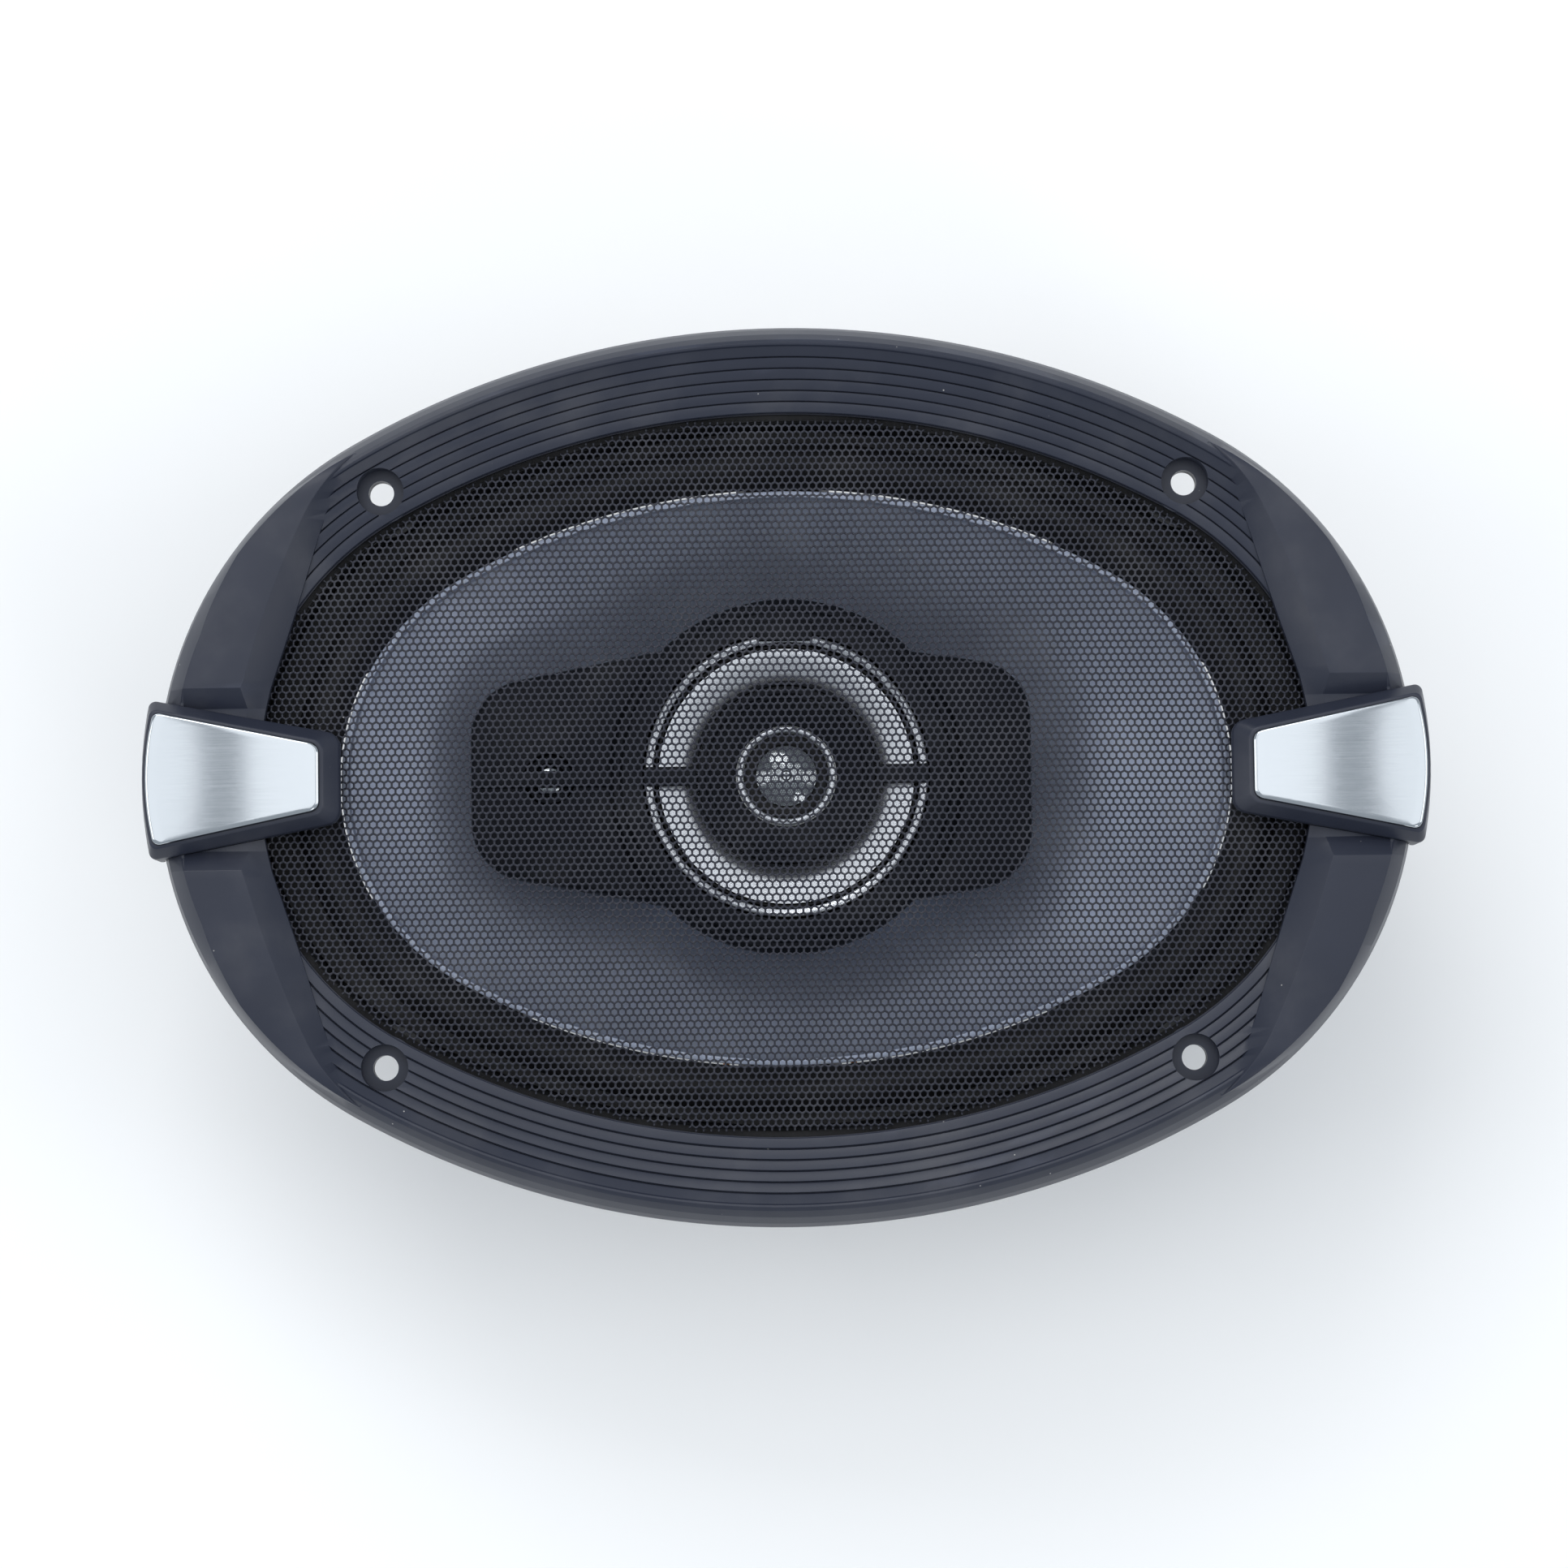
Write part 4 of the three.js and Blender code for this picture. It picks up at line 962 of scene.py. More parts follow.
class MakeTerminals(Operator):
    """Fibreboard with its eyelets and two spade blades"""

    bl_idname = "speaker.terminals"
    bl_label = "Terminals"

    def execute(self, context):
        lowest, highest = low("terminal_board"), high("terminal_board")
        face = lowest.y
        board = block("board", lowest, (highest.x, face + 2 * MM, highest.z))
        half, margin = 7 * MM, 2 * MM
        foot_low = (-half, face + MM, lowest.z + margin)
        foot = block("board_foot", foot_low, (half, highest.y, highest.z - margin))
        levels = [(oval_outline(level, 0.5 * MM), level[2]) for level in (WALL_FOOT, WALL_HEAD)]
        wall = stack("wall", *levels)
        holes = []
        for x in (-EYELET_X, EYELET_X):
            hole = drum("eyelet", 1.1 * MM, -3 * MM, 3 * MM, count=24)
            for vertex in hole.data.vertices:
                vertex.co = (vertex.co.x + x, vertex.co.z + face + MM, vertex.co.y + EYELET_Z)
            holes.append(hole)
        made = cut(joined(board, foot), wall, *holes)
        dressed(bevelled(made, 0.4 * MM, 2), "fibreboard", FIXED, "terminal_board")
        for node, name in (("terminal_positive", "wide_blade"), ("terminal_negative", "narrow_blade")):
            self.blade(node, name)
        return {"FINISHED"}

    def blade(self, node, name):
        lowest, highest = low(node), high(node)
        middle, half = (lowest.x + highest.x) / 2, (highest.x - lowest.x) / 2
        outline = rounded(
            [
                (middle - half, lowest.y, 1.4 * MM),
                (middle + half, lowest.y, 1.4 * MM),
                (middle + half, highest.y, 0),
                (middle - half, highest.y, 0),
            ]
        )
        made = stack(name, (outline, lowest.z), (outline, highest.z))
        hole = drum("hole", 0.8 * MM, lowest.z - MM, highest.z + MM, (middle, lowest.y + 3 * MM), 24)
        seat = 2 * MM
        collar = block(
            "collar",
            (middle - half - 0.6 * MM, highest.y - 0.5 * MM, lowest.z - 0.6 * MM),
            (middle + half + 0.6 * MM, highest.y + 0.2 * MM, highest.z + 0.6 * MM),
        )
        tab = block(
            "solder_tab",
            (middle - seat, highest.y + 2.4 * MM, lowest.z + MM),
            (middle + seat, highest.y + 3 * MM, highest.z + 4.6 * MM),
        )
        made = bevelled(cut(made, hole), 0.15 * MM, 2, 50)
        made = merged(made, bevelled(collar, 0.2 * MM, 2), bevelled(tab, 0.2 * MM, 2))
        dressed(made, "brass", FIXED, node)


class MakeCapacitor(Operator):
    """Crossover capacitor in its sleeve, with its two leads"""

    bl_idname = "speaker.capacitor"
    bl_label = "Crossover capacitor"

    def execute(self, context):
        lowest, highest = low("crossover_capacitor"), high("crossover_capacitor")
        centre = (lowest + highest) / 2
        half, radius = (highest.x - lowest.x) / 2, (highest.y - lowest.y) / 2
        dip, lip = 0.55 * MM, 0.9 * MM
        section = [
            (0, -half + 0.4 * MM), (radius - 1.6 * MM, -half + 0.4 * MM), (radius - 1.4 * MM, -half),
            (radius - 0.4 * MM, -half), (radius, -half + 0.5 * MM), (radius, -half + 2 * MM),
            (radius - dip, -half + 2 * MM + lip), (radius, -half + 2 * MM + 2 * lip),
            (radius, half - 0.6 * MM), (radius - 0.6 * MM, half), (radius - 1.5 * MM, half),
            (radius - 1.7 * MM, half - 0.3 * MM), (0, half - 0.3 * MM),
        ]
        can = laid_along_x(turned("capacitor", section, 0.3 * MM, count=48), centre)
        dressed(can, "matte_plastic", FIXED, "crossover_capacitor")
        board_z = low("terminal_board").z + 3 * MM
        for name, side in (("capacitor_lead_a", 1), ("capacitor_lead_b", -1)):
            end = centre.x + side * half
            route = [
                (end - side * 0.2 * MM, centre.y, centre.z),
                (end + side * 1.6 * MM, centre.y, centre.z + 0.2 * MM),
                (end + side * 2.2 * MM, centre.y - 1.2 * MM, centre.z + 3 * MM),
                (side * EYELET_X, low("terminal_board").y + 2.4 * MM, board_z),
            ]
            dressed(tube(name, route, 0.35 * MM), "plated_steel", FIXED)
        return {"FINISHED"}


# ---------------------------------------------------------------- Woofer's moving parts


class MakeLeads(Operator):
    """Braided tinsel leads from the terminals to the cone"""

    bl_idname = "speaker.leads"
    bl_label = "Tinsel leads"

    def execute(self, context):
        route = mm(
            (13.4, -67.3, 57.5), (13.6, -63.5, 55), (13.4, -58, 49.5), (12.6, -50, 45.8), (11.2, -41, 45.6),
            (9.8, -33.5, 49.2),
        )
        for name, side in (("positive", 1), ("negative", -1)):
            points = [(side * x, y, z) for x, y, z in route]
            lead = tube(name + "_braid", points, 0.7 * MM)
            dressed(lead, "copper", CONE_BODY, "tinsel_lead_" + name)
            lead.parent = None
            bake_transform(lead)
        return {"FINISHED"}


def cone_z(share):
    """Z of the cone's front face at a share of the way from its neck to its edge."""
    return (38 + 37 * share**0.93) * MM


class MakeCone(Operator):
    """Woofer cone with its glued lip, and the felt ring at its neck"""

    bl_idname = "speaker.cone"
    bl_label = "Woofer cone"

    def execute(self, context):
        neck, lip, thickness = 13.4 * MM, 1.7 * MM, 0.8 * MM
        shares = [i / 40 for i in range(41)]

        def level(share, fall):
            return (
                neck + (CONE[0] - lip - neck) * share,
                neck + (CONE[1] - lip - neck) * share,
                cone_z(share) - fall,
            )

        edge_z = high("woofer_cone").z
        section = [level(share, 0) for share in shares]
        section += [(CONE[0] - lip + 0.4 * MM, CONE[1] - lip + 0.4 * MM, edge_z), (*CONE, edge_z)]
        section += [(*CONE, edge_z - 1.6 * MM)]
        section += [level(share, thickness) for share in reversed(shares)]
        dressed(hoop("pressed_cone", section, 0.3 * MM), "mica_cone", CONE_BODY, "woofer_cone")
        section = mm((5.6, 38.7), (12.9, 38.7), (12.9, 40.7), (5.6, 40.7))
        dressed(turned("felt_ring", section, 0.5 * MM), "foam", CONE_BODY, "dust_ring")
        return {"FINISHED"}


class MakeSurround(Operator):
    """Half roll of rubber round the cone"""

    bl_idname = "speaker.surround"
    bl_label = "Cone surround"

    def execute(self, context):
        roll = context.scene.speaker_driver.roll_height
        thickness, width = 0.7 * MM, 9.6 * MM
        inner = grown(CONE, GAP)
        bottom = LANDING_Z + GAP
        shares = [i / 20 for i in range(21)]

        def over(share, lift):
            rise = bottom + lift + roll * math.sin(math.pi * share) ** 0.8
            return inner[0] + width * share, inner[1] + width * share, rise

        edge = grown(LANDING, -0.4 * MM)
        section = [over(share, thickness) for share in shares]
        section += [(*edge, bottom + thickness), (*edge, bottom)]
        section += [over(share, 0) for share in reversed(shares)]
        piece = hoop("rolled_surround", section, 0)
        flexing(piece, "rubber", CONE_BODY, inner, width, "cone_surround")
        return {"FINISHED"}


class MakeSpider(Operator):
    """Corrugated cloth spider"""

    bl_idname = "speaker.spider"
    bl_label = "Spider"

    def execute(self, context):
        sizes = context.scene.speaker_driver
        bottom, thickness = low("spider").z, 0.5 * MM
        neck, first, last, edge = 13.2 * MM, 17 * MM, 46 * MM, high("spider").x
        steps = 12 * sizes.spider_folds
        line = [(neck, bottom)]
        for i in range(steps + 1):
            share = i / steps
            lift = sizes.spider_fold * (0.5 - 0.5 * math.cos(2 * math.pi * sizes.spider_folds * share))
            line.append((first + (last - first) * share, bottom + lift))
        line.append((edge, bottom))
        section = line + [(radius, z + thickness) for radius, z in reversed(line)]
        piece = turned("corrugated_spider", section, 0)
        flexing(piece, "cloth", CONE_BODY, (neck, neck), last - neck, "spider")
        return {"FINISHED"}


class MakeVoiceCoil(Operator):
    """Voice coil former and its winding"""

    bl_idname = "speaker.voice_coil"
    bl_label = "Voice coil"

    def execute(self, context):
        section = mm((12.6, 18), (12.9, 18), (12.9, 38.4), (12.6, 38.4))
        dressed(turned("coil_former", section, 0), "kapton", CONE_BODY, "voice_coil_former")
        wire = context.scene.speaker_driver.coil_wire
        bottom, count = 19 * MM, 25
        section = [(13.2 * MM, bottom)]
        for i in range(count):
            for k in range(4):
                turn = math.pi * k / 4
                z = bottom + wire * (i + 0.5 - 0.5 * math.cos(turn))
                section.append((13.45 * MM + 0.25 * MM * math.sin(turn), z))
        section.append((13.2 * MM, bottom + wire * count))
        winding = turned("coil_winding", section, 0, count=64)
        dressed(winding, "copper", CONE_BODY, "voice_coil_winding")
        return {"FINISHED"}


# ---------------------------------------------------------------- Pod

POD_DISC = 36.6 * MM
POD_POCKET = 29.6 * MM
POD_FLOOR = 63.5 * MM


class MakePodShell(Operator):
    """The pod's post, rear cover and front housing with its two wings"""

    bl_idname = "speaker.pod_shell"
    bl_label = "Pod shell"

    def execute(self, context):
        foot, seat = TOP_PLATE[3] + GAP, POD_FLOOR - GAP
        section = [(0, 44 * MM), (2.3 * MM, 42 * MM), (2.3 * MM, foot), (8 * MM, foot)]
        section += [(8 * MM, foot + 2.5 * MM), (5 * MM, foot + 4 * MM), (5 * MM, seat - 2 * MM)]
        section += [(9 * MM, seat - MM), (9 * MM, seat), (4.6 * MM, seat), *mm((4.6, 65.4), (0, 65.4))]
        dressed(turned("pod_post", section, 0.4 * MM, count=64), "basket_steel", FIXED, "pod_stem")
        rim, seam = POD_DISC - MM, 71.7 * MM
        section = [(4.9 * MM, POD_FLOOR), (24 * MM, POD_FLOOR + 0.6 * MM)]
        section += [(rim - 3 * MM, POD_FLOOR + 3.6 * MM), (rim, POD_FLOOR + 6.6 * MM)]
        section += [(rim, seam), (rim - 2 * MM, seam)]
        section += [(rim - 2 * MM, POD_FLOOR + 7.2 * MM), (rim - 4.2 * MM, POD_FLOOR + 5 * MM)]
        section += [(23.5 * MM, POD_FLOOR + 2.4 * MM), (4.9 * MM, POD_FLOOR + 1.7 * MM)]
        cover = turned("pod_back", section, 1.0 * MM)
        dressed(cover, "matte_plastic", FIXED, "pod_rear_cover")
        dressed(self.housing(), "matte_plastic", FIXED, "pod_housing")
        return {"FINISHED"}

    def housing(self):
        left, right = low("pod_housing").x, high("pod_housing").x
        bottom, top = low("pod_housing").z, 78 * MM
        corner = 12 * MM
        half = [(right, 22 * MM, corner), *mm((24, 26, 6), (-25, 26.5, 6)), (left, 18.8 * MM, corner)]
        outline = rounded([(x, -y, radius) for x, y, radius in reversed(half)] + half, 8)
        small = [(x * 0.98, y * 0.955) for x, y in outline]
        wings = stack(
            "pod_front",
            (small, bottom),
            (outline, bottom + 2 * MM),
            (outline, top - 1.5 * MM),
            (mixed(outline, small, 0.12), top - 0.8 * MM),
            (mixed(outline, small, 0.45), top - 0.25 * MM),
            (small, top),
        )
        rim = POD_RIM_Z
        section = [
            (0, bottom), (POD_DISC - MM, bottom), (POD_DISC, bottom + MM), (POD_DISC, rim - 2.4 * MM),
            (POD_DISC - 1.1 * MM, rim - 1.2 * MM), (POD_DISC - 2.2 * MM, rim - 1.2 * MM),
            (POD_DISC - 2.9 * MM, rim - 0.35 * MM), (POD_POCKET + MM, rim), (0, rim),
        ]
        disc = turned("disc", section, 0.35 * MM, count=FINE_STEPS)
        pocket = drum("pocket", POD_POCKET, bottom - MM, rim + 3 * MM, count=FINE_STEPS)
        well = drum("well", 5.4 * MM, bottom + 2 * MM, top + 5 * MM, (SUPER_TWEETER_X, 0))
        half, raised, near, far = 1.7 * MM, 1.1 * MM, POD_POCKET - 2 * MM, POD_POCKET + 2 * MM
        bar = block("bar", (left + 0.6 * MM, -half, top - MM), (-far, half, top + raised))
        half = 5.8 * MM
        tab = block("tab", (-half, near, rim - 0.1 * MM), (half, far, rim + raised))
        shell = cut(joined(wings, disc), pocket, well)
        return joined(shell, bevelled(bar, 0.5 * MM), bevelled(tab, 0.4 * MM))


class MakeMidrange(Operator):
    """Midrange driver: frame, bright trim ring, bright cone and its soft edge"""

    bl_idname = "speaker.midrange"
    bl_label = "Midrange"

    def execute(self, context):
        body = "midrange_moving_parts"
        rim = 79.8 * MM
        section = [(29.3 * MM, rim), (27.4 * MM, rim), *mm((27.4, 74), (15.5, 69.8), (10, 69.8))]
        section = [*mm((10, 68.5), (16, 68.5), (29.3, 72.4)), *section]
        dressed(turned("midrange_chassis", section), "matte_plastic", FIXED, "midrange_frame")
        section = [(27.5 * MM, rim + GAP), (29.1 * MM, rim + GAP), (29.1 * MM, rim + 0.8 * MM)]
        section += [(28.5 * MM, rim + 1.1 * MM), (27.5 * MM, rim + 0.8 * MM)]
        ring = turned("midrange_bright_ring", section, 0.25 * MM, count=FINE_STEPS)
        dressed(ring, "satin_metal", FIXED, "midrange_trim_ring")
        (edge, top), (neck, bottom) = mm((26.3, 79), (9.6, 72.4))
        steps, flare = 32, 2.0
        front = []
        for i in range(steps + 1):
            share = i / steps
            front.append((neck + (edge - neck) * share, top - (top - bottom) * (1 - share) ** flare))
        back = [(radius, z - 0.5 * MM) for radius, z in reversed(front)]
        cone = turned("bright_midrange_cone", front + back, 0, count=FINE_STEPS)
        dressed(cone, "satin_metal", body, "midrange_cone")
        section = mm((26.6, 78.5), (27.1, 78.5), (27.1, 79.1), (26.6, 79.1))
        soft = turned("midrange_edge", section, 0.15 * MM, count=FINE_STEPS)
        dressed(soft, "rubber", body, "midrange_surround")
        return {"FINISHED"}


class MakeTweeter(Operator):
    """Tweeter on its bridge over the midrange"""

    bl_idname = "speaker.tweeter"
    bl_label = "Tweeter"

    def execute(self, context):
        body = "tweeter_moving_parts"
        top = high("tweeter_bridge").z
        section = mm((18.5, 79.4), (19.4, 79.4), (19.4, 82.4), (18.5, 82.4))
        ring = turned("bridge", section, 0.2 * MM, count=FINE_STEPS)
        half, bars = 2 * MM, []
        for near, far in mm((-29.3, -19), (19, 29.3)):
            bar = block("bar", (near, -half, top - 1.1 * MM), (far, half, top))
            bars.append(bevelled(bar, 0.3 * MM))
        dressed(joined(ring, *bars), "matte_plastic", FIXED, "tweeter_bridge")
        section = mm(
            (10.4, 78.6), (18.2, 80.4), (18.2, 82), (16.9, 82), (16.5, 81.55), (16.0, 81.55), (15.6, 81.2),
            (10.4, 79.6),
        )
        plate = turned("tweeter_plate", section, 0.2 * MM, count=FINE_STEPS)
        dressed(plate, "matte_plastic", FIXED, "tweeter_faceplate")
        section = mm((9.0, 78.5), (10.15, 78.5), (10.15, 80.05), (9.95, 80.3), (9.6, 80.36))
        section += mm((9.2, 80.3), (9.0, 80.05))
        dressed(turned("tweeter_bright_ring", section, 0.2 * MM), "satin_metal", FIXED, "tweeter_trim_ring")
        outer, button, peak, fall, steps = *mm((6.2, 1.1, 80.5, 1.76))[0], 12
        front = mm((0, 80.6), (0.8, 80.6), (1.1, 80.35))
        for i in range(1, steps + 1):
            radius = button + (outer - button) * i / steps
            front.append((radius, peak - fall * (radius / outer) ** 2))
        back = [(radius * 0.95, z - 0.25 * MM) for radius, z in reversed(front[3:])]
        dome = turned("bright_dome", front + back + [(0, 80.1 * MM)], 0, count=64)
        dressed(dome, "bright_metal", body, "tweeter_dome")
        section = mm((6.5, 78.5), (8.8, 78.5), (8.8, 78.8), (7.65, 79.25), (6.5, 78.8))
        dressed(turned("tweeter_edge", section, 0.15 * MM), "rubber", body, "tweeter_surround")
        return {"FINISHED"}


class MakeSuperTweeter(Operator):
    """Super tweeter in its recess on the pod's wing"""

    bl_idname = "speaker.super_tweeter"
    bl_label = "Super tweeter"

    def execute(self, context):
        centre = (SUPER_TWEETER_X, 0)
        section = mm((0, 74.3), (5, 74.3), (5, 76), (3.4, 76), (3.4, 74.9), (0, 74.9))
        cup = turned("super_tweeter_cup", section, 0.25 * MM, centre, 64)
        dressed(cup, "matte_plastic", FIXED, "super_tweeter_body")
        section = mm((0, 75.5), (3, 75.5), (3, 75.9), (2.4, 76.2), (1.5, 76.48), (0.7, 76.58), (0, 76.6))
        dome = turned("super_tweeter_bright_dome", section, 0.15 * MM, centre, 48)
        dressed(dome, "bright_metal", "super_tweeter_moving_parts", "super_tweeter_dome")
        return {"FINISHED"}


# ---------------------------------------------------------------- Grille

BADGE_FOOT = mm((131.2, 90.9, 16.4, 9, 3))[0]  # outer and inner X, half widths there, corner radius
BADGE_HEAD = mm((130.7, 94.2, 14.3, 7.3, 2.4))[0]
BADGE_PLATE = mm((130.1, 94.9, 13.6, 6.65, 2.2))[0]
BADGE_BULGE = 1.7 * MM  # how far the badge's outer edge stands out in its middle
BADGE_SHOULDER_Z = 90.8 * MM
BADGE_HEAD_Z = 93.6 * MM
BADGE_SEAT_Z = 84 * MM
SHOULDERS = mm(  # y, inner edge, flat top's inner and outer edge, height
    (18.6, 105.2, 110.9, 122.0, 91.7),
    (36, 99.4, 105.3, 116.6, 91.4),
    (54.3, 93.6, 97.7, 106.0, 90.9),
    (62, 90.0, 92.6, 98.4, 90.4),
    (69.6, 84.9, 85.5, 86.1, 86.4),
)
SHOULDER_LEDGE = mm((9.0, 107.2, 110.6, 122.4, 88.7), (14.6, 106.1, 109.8, 122.4, 88.7))


def badge_outline(spec, growth=0.0):
    outer, inner, half_outer, half_inner, corner = spec
    outer, inner = outer + growth, inner - growth
    half_outer, half_inner = half_outer + growth, half_inner + growth
    end = outer - BADGE_BULGE
    slant = []
    for share in [i / 8 for i in range(1, 8)]:
        slant.append((inner + (end - inner) * share, half_inner + (half_outer - half_inner) * share))
    corners = [(inner, -half_inner, corner), *[(x, -y, 0) for x, y in slant], (end, -half_outer, 1.5 * MM)]
    for share in [i / 6 for i in range(-5, 6)]:
        corners.append((outer - BADGE_BULGE * share**2, half_outer * share, 0))
    corners += [(end, half_outer, 1.5 * MM), *[(x, y, 0) for x, y in reversed(slant)]]
    corners += [(inner, half_inner, corner), *[(inner, half_inner * i / 2, 0) for i in (1, 0, -1)]]
    return rounded(corners, 8)


class MakeMesh(Operator):
    """Domed sheet with rows of holes"""

    bl_idname = "speaker.mesh"
    bl_label = "Grille mesh"

    def execute(self, context):
        sizes = context.scene.speaker_grille
        sheet = self.perforated(sizes.hole_pitch, sizes.hole_size / math.sqrt(3), sizes.sheet)
        rim, bottom, top = 1.3 * MM, MESH_Z, MESH_Z + MESH_EDGE
        section = [
            (*MESH, bottom), (*MESH, top), (*grown(MESH, -rim), top), (*grown(MESH, -rim), bottom),
        ]
        made = merged(sheet, hoop("mesh_rim", section, 0.2 * MM))
        dressed(made, "grille_steel", GRILLE_BODY, "grille_mesh")
        made.data.set_sharp_from_angle(angle=math.pi)
        return {"FINISHED"}

    def perforated(self, pitch, radius, thickness):
        """Sheet whose hexagonal holes lie in rows along X."""
        row = pitch * math.sqrt(3) / 2
        rim = 1.6 * MM
        flatness = 2.2  # a larger power keeps the dome's middle flatter
        arcs = oval(*grown(MESH, -rim))
        top = MESH_Z + MESH_EDGE
        corners = []
        for k in range(6):
            turn = math.pi / 6 + k * math.pi / 3
            corners.append((radius * math.cos(turn), radius * math.sin(turn)))
        holes, points = {}, []
        rows, columns = round(MESH[1] / row), round(MESH[0] / pitch)
        for r in range(-rows, rows + 1):
            for q in range(-columns - r // 2 - 1, columns - r // 2 + 2):
                x, y = (q + r / 2) * pitch, r * row
                if share_across(x, y, arcs) > 1.0:
                    continue
                holes[q, r] = len(points)
                for lift in (0, thickness):
                    for dx, dy in corners:
                        share = min(share_across(x + dx, y + dy, arcs), 1.0)
                        rise = MESH_RISE * (1 - share**flatness)
                        points.append((x + dx, y + dy, top - lift + rise))
        faces = []
        for (q, r), at in holes.items():
            for k in range(6):
                after = (k + 1) % 6
                faces.append((at + k, at + after, at + 6 + after, at + 6 + k))
            beside = [holes.get(place) for place in ((q + 1, r), (q, r + 1), (q - 1, r + 1))]
            right, above, left = beside
            for k, other, (first, second) in zip((5, 0, 1), beside, ((3, 2), (4, 3), (5, 4))):
                if other is not None:
                    faces.append((at + k, other + first, other + second, at + (k + 1) % 6))
            if right is not None and above is not None:
                faces.append((at, right + 2, above + 4))
            if above is not None and left is not None:
                faces.append((at + 1, above + 3, left + 5))
        mesh = bpy.data.meshes.new("perforated_grille")
        mesh.from_pydata(points, [], faces)
        piece = bpy.data.objects.new("perforated_grille", mesh)
        bpy.context.scene.collection.objects.link(piece)
        return piece


class MakeBadges(Operator):
    """Bevelled blocks at both ends with their bright plates"""

    bl_idname = "speaker.badges"
    bl_label = "Badges"

    def execute(self, context):
        crown = context.scene.speaker_grille.badge_crown
        for side, x in (("right", 1), ("left", -1)):
            dressed(
                mirrored(self.housing(side + "_badge_block"), x, 1),
                "black_plastic", GRILLE_BODY, side + "_badge_housing",
            )
            dressed(
                mirrored(self.plate(side + "_badge_face", crown), x, 1),
                "bright_metal", GRILLE_BODY, side + "_badge_plate",
            )
        return {"FINISHED"}

    def housing(self, name):
        foot, head = badge_outline(BADGE_FOOT), badge_outline(BADGE_HEAD)
        seat = badge_outline(BADGE_PLATE, 0.12 * MM)
        bottom, shoulder, top = low("right_badge_housing").z, BADGE_SHOULDER_Z, BADGE_HEAD_Z
        rise = top - shoulder
        made = stack(
            name,
            (foot, bottom),
            (foot, shoulder - 0.45 * MM),
            (mixed(foot, head, 0.03), shoulder - 0.1 * MM),
            (mixed(foot, head, 0.10), shoulder + 0.22 * MM),
            (mixed(foot, head, 0.90), top - rise * 0.12),
            (mixed(foot, head, 0.97), top - 0.1 * MM),
            (mixed(head, seat, 0.25), top),
            (seat, top),
            (badge_outline(BADGE_PLATE, 0.1 * MM), top - 0.35 * MM),
        )
        ring_room = stack(
            "ring_room",
            (oval_outline(TRIM, GAP), bottom - MM),
            (oval_outline(TRIM, GAP), BADGE_SEAT_Z),
        )
        lip_x = TRIM[0] - 16.5 * MM
        over_mesh = 87.6 * MM
        reach = 2 * BADGE_FOOT[2]
        mesh_room = block("mesh_room", (BADGE_FOOT[1] - MM, -reach, bottom - MM), (lip_x, reach, over_mesh))
        return cut(made, ring_room, mesh_room)

    def plate(self, name, crown):
        """Plate whose face bulges a little along the oval."""
        outline = badge_outline(BADGE_PLATE)
        top = high("right_badge_plate").z - crown
        bottom = low("right_badge_plate").z
        middle, half = (BADGE_PLATE[0] + BADGE_PLATE[1]) / 2, (BADGE_PLATE[0] - BADGE_PLATE[1]) / 2

        def crowned(x, y):
            return crown * (1 - ((x - middle) / half) ** 2) * (1 - 0.25 * (y / BADGE_PLATE[2]) ** 2)

        rim, steps = 0.045, 12
        insets = [(0.01, 0.12 * MM), (0.025, 0.03 * MM), (rim, 0.0)]
        insets += [(rim + (1 - rim) * i / steps, 0.0) for i in range(1, steps)]
        rings = [[(x, y, bottom) for x, y in outline], [(x, y, top - 0.3 * MM) for x, y in outline]]
        for inset, fall in insets:
            ring = [(x + (middle - x) * inset, y * (1 - inset)) for x, y in outline]
            rings.append([(x, y, top - fall + crowned(x, y)) for x, y in ring])
        rings.append([(middle, 0, top + crowned(middle, 0))])
        return skinned(name, rings, False)


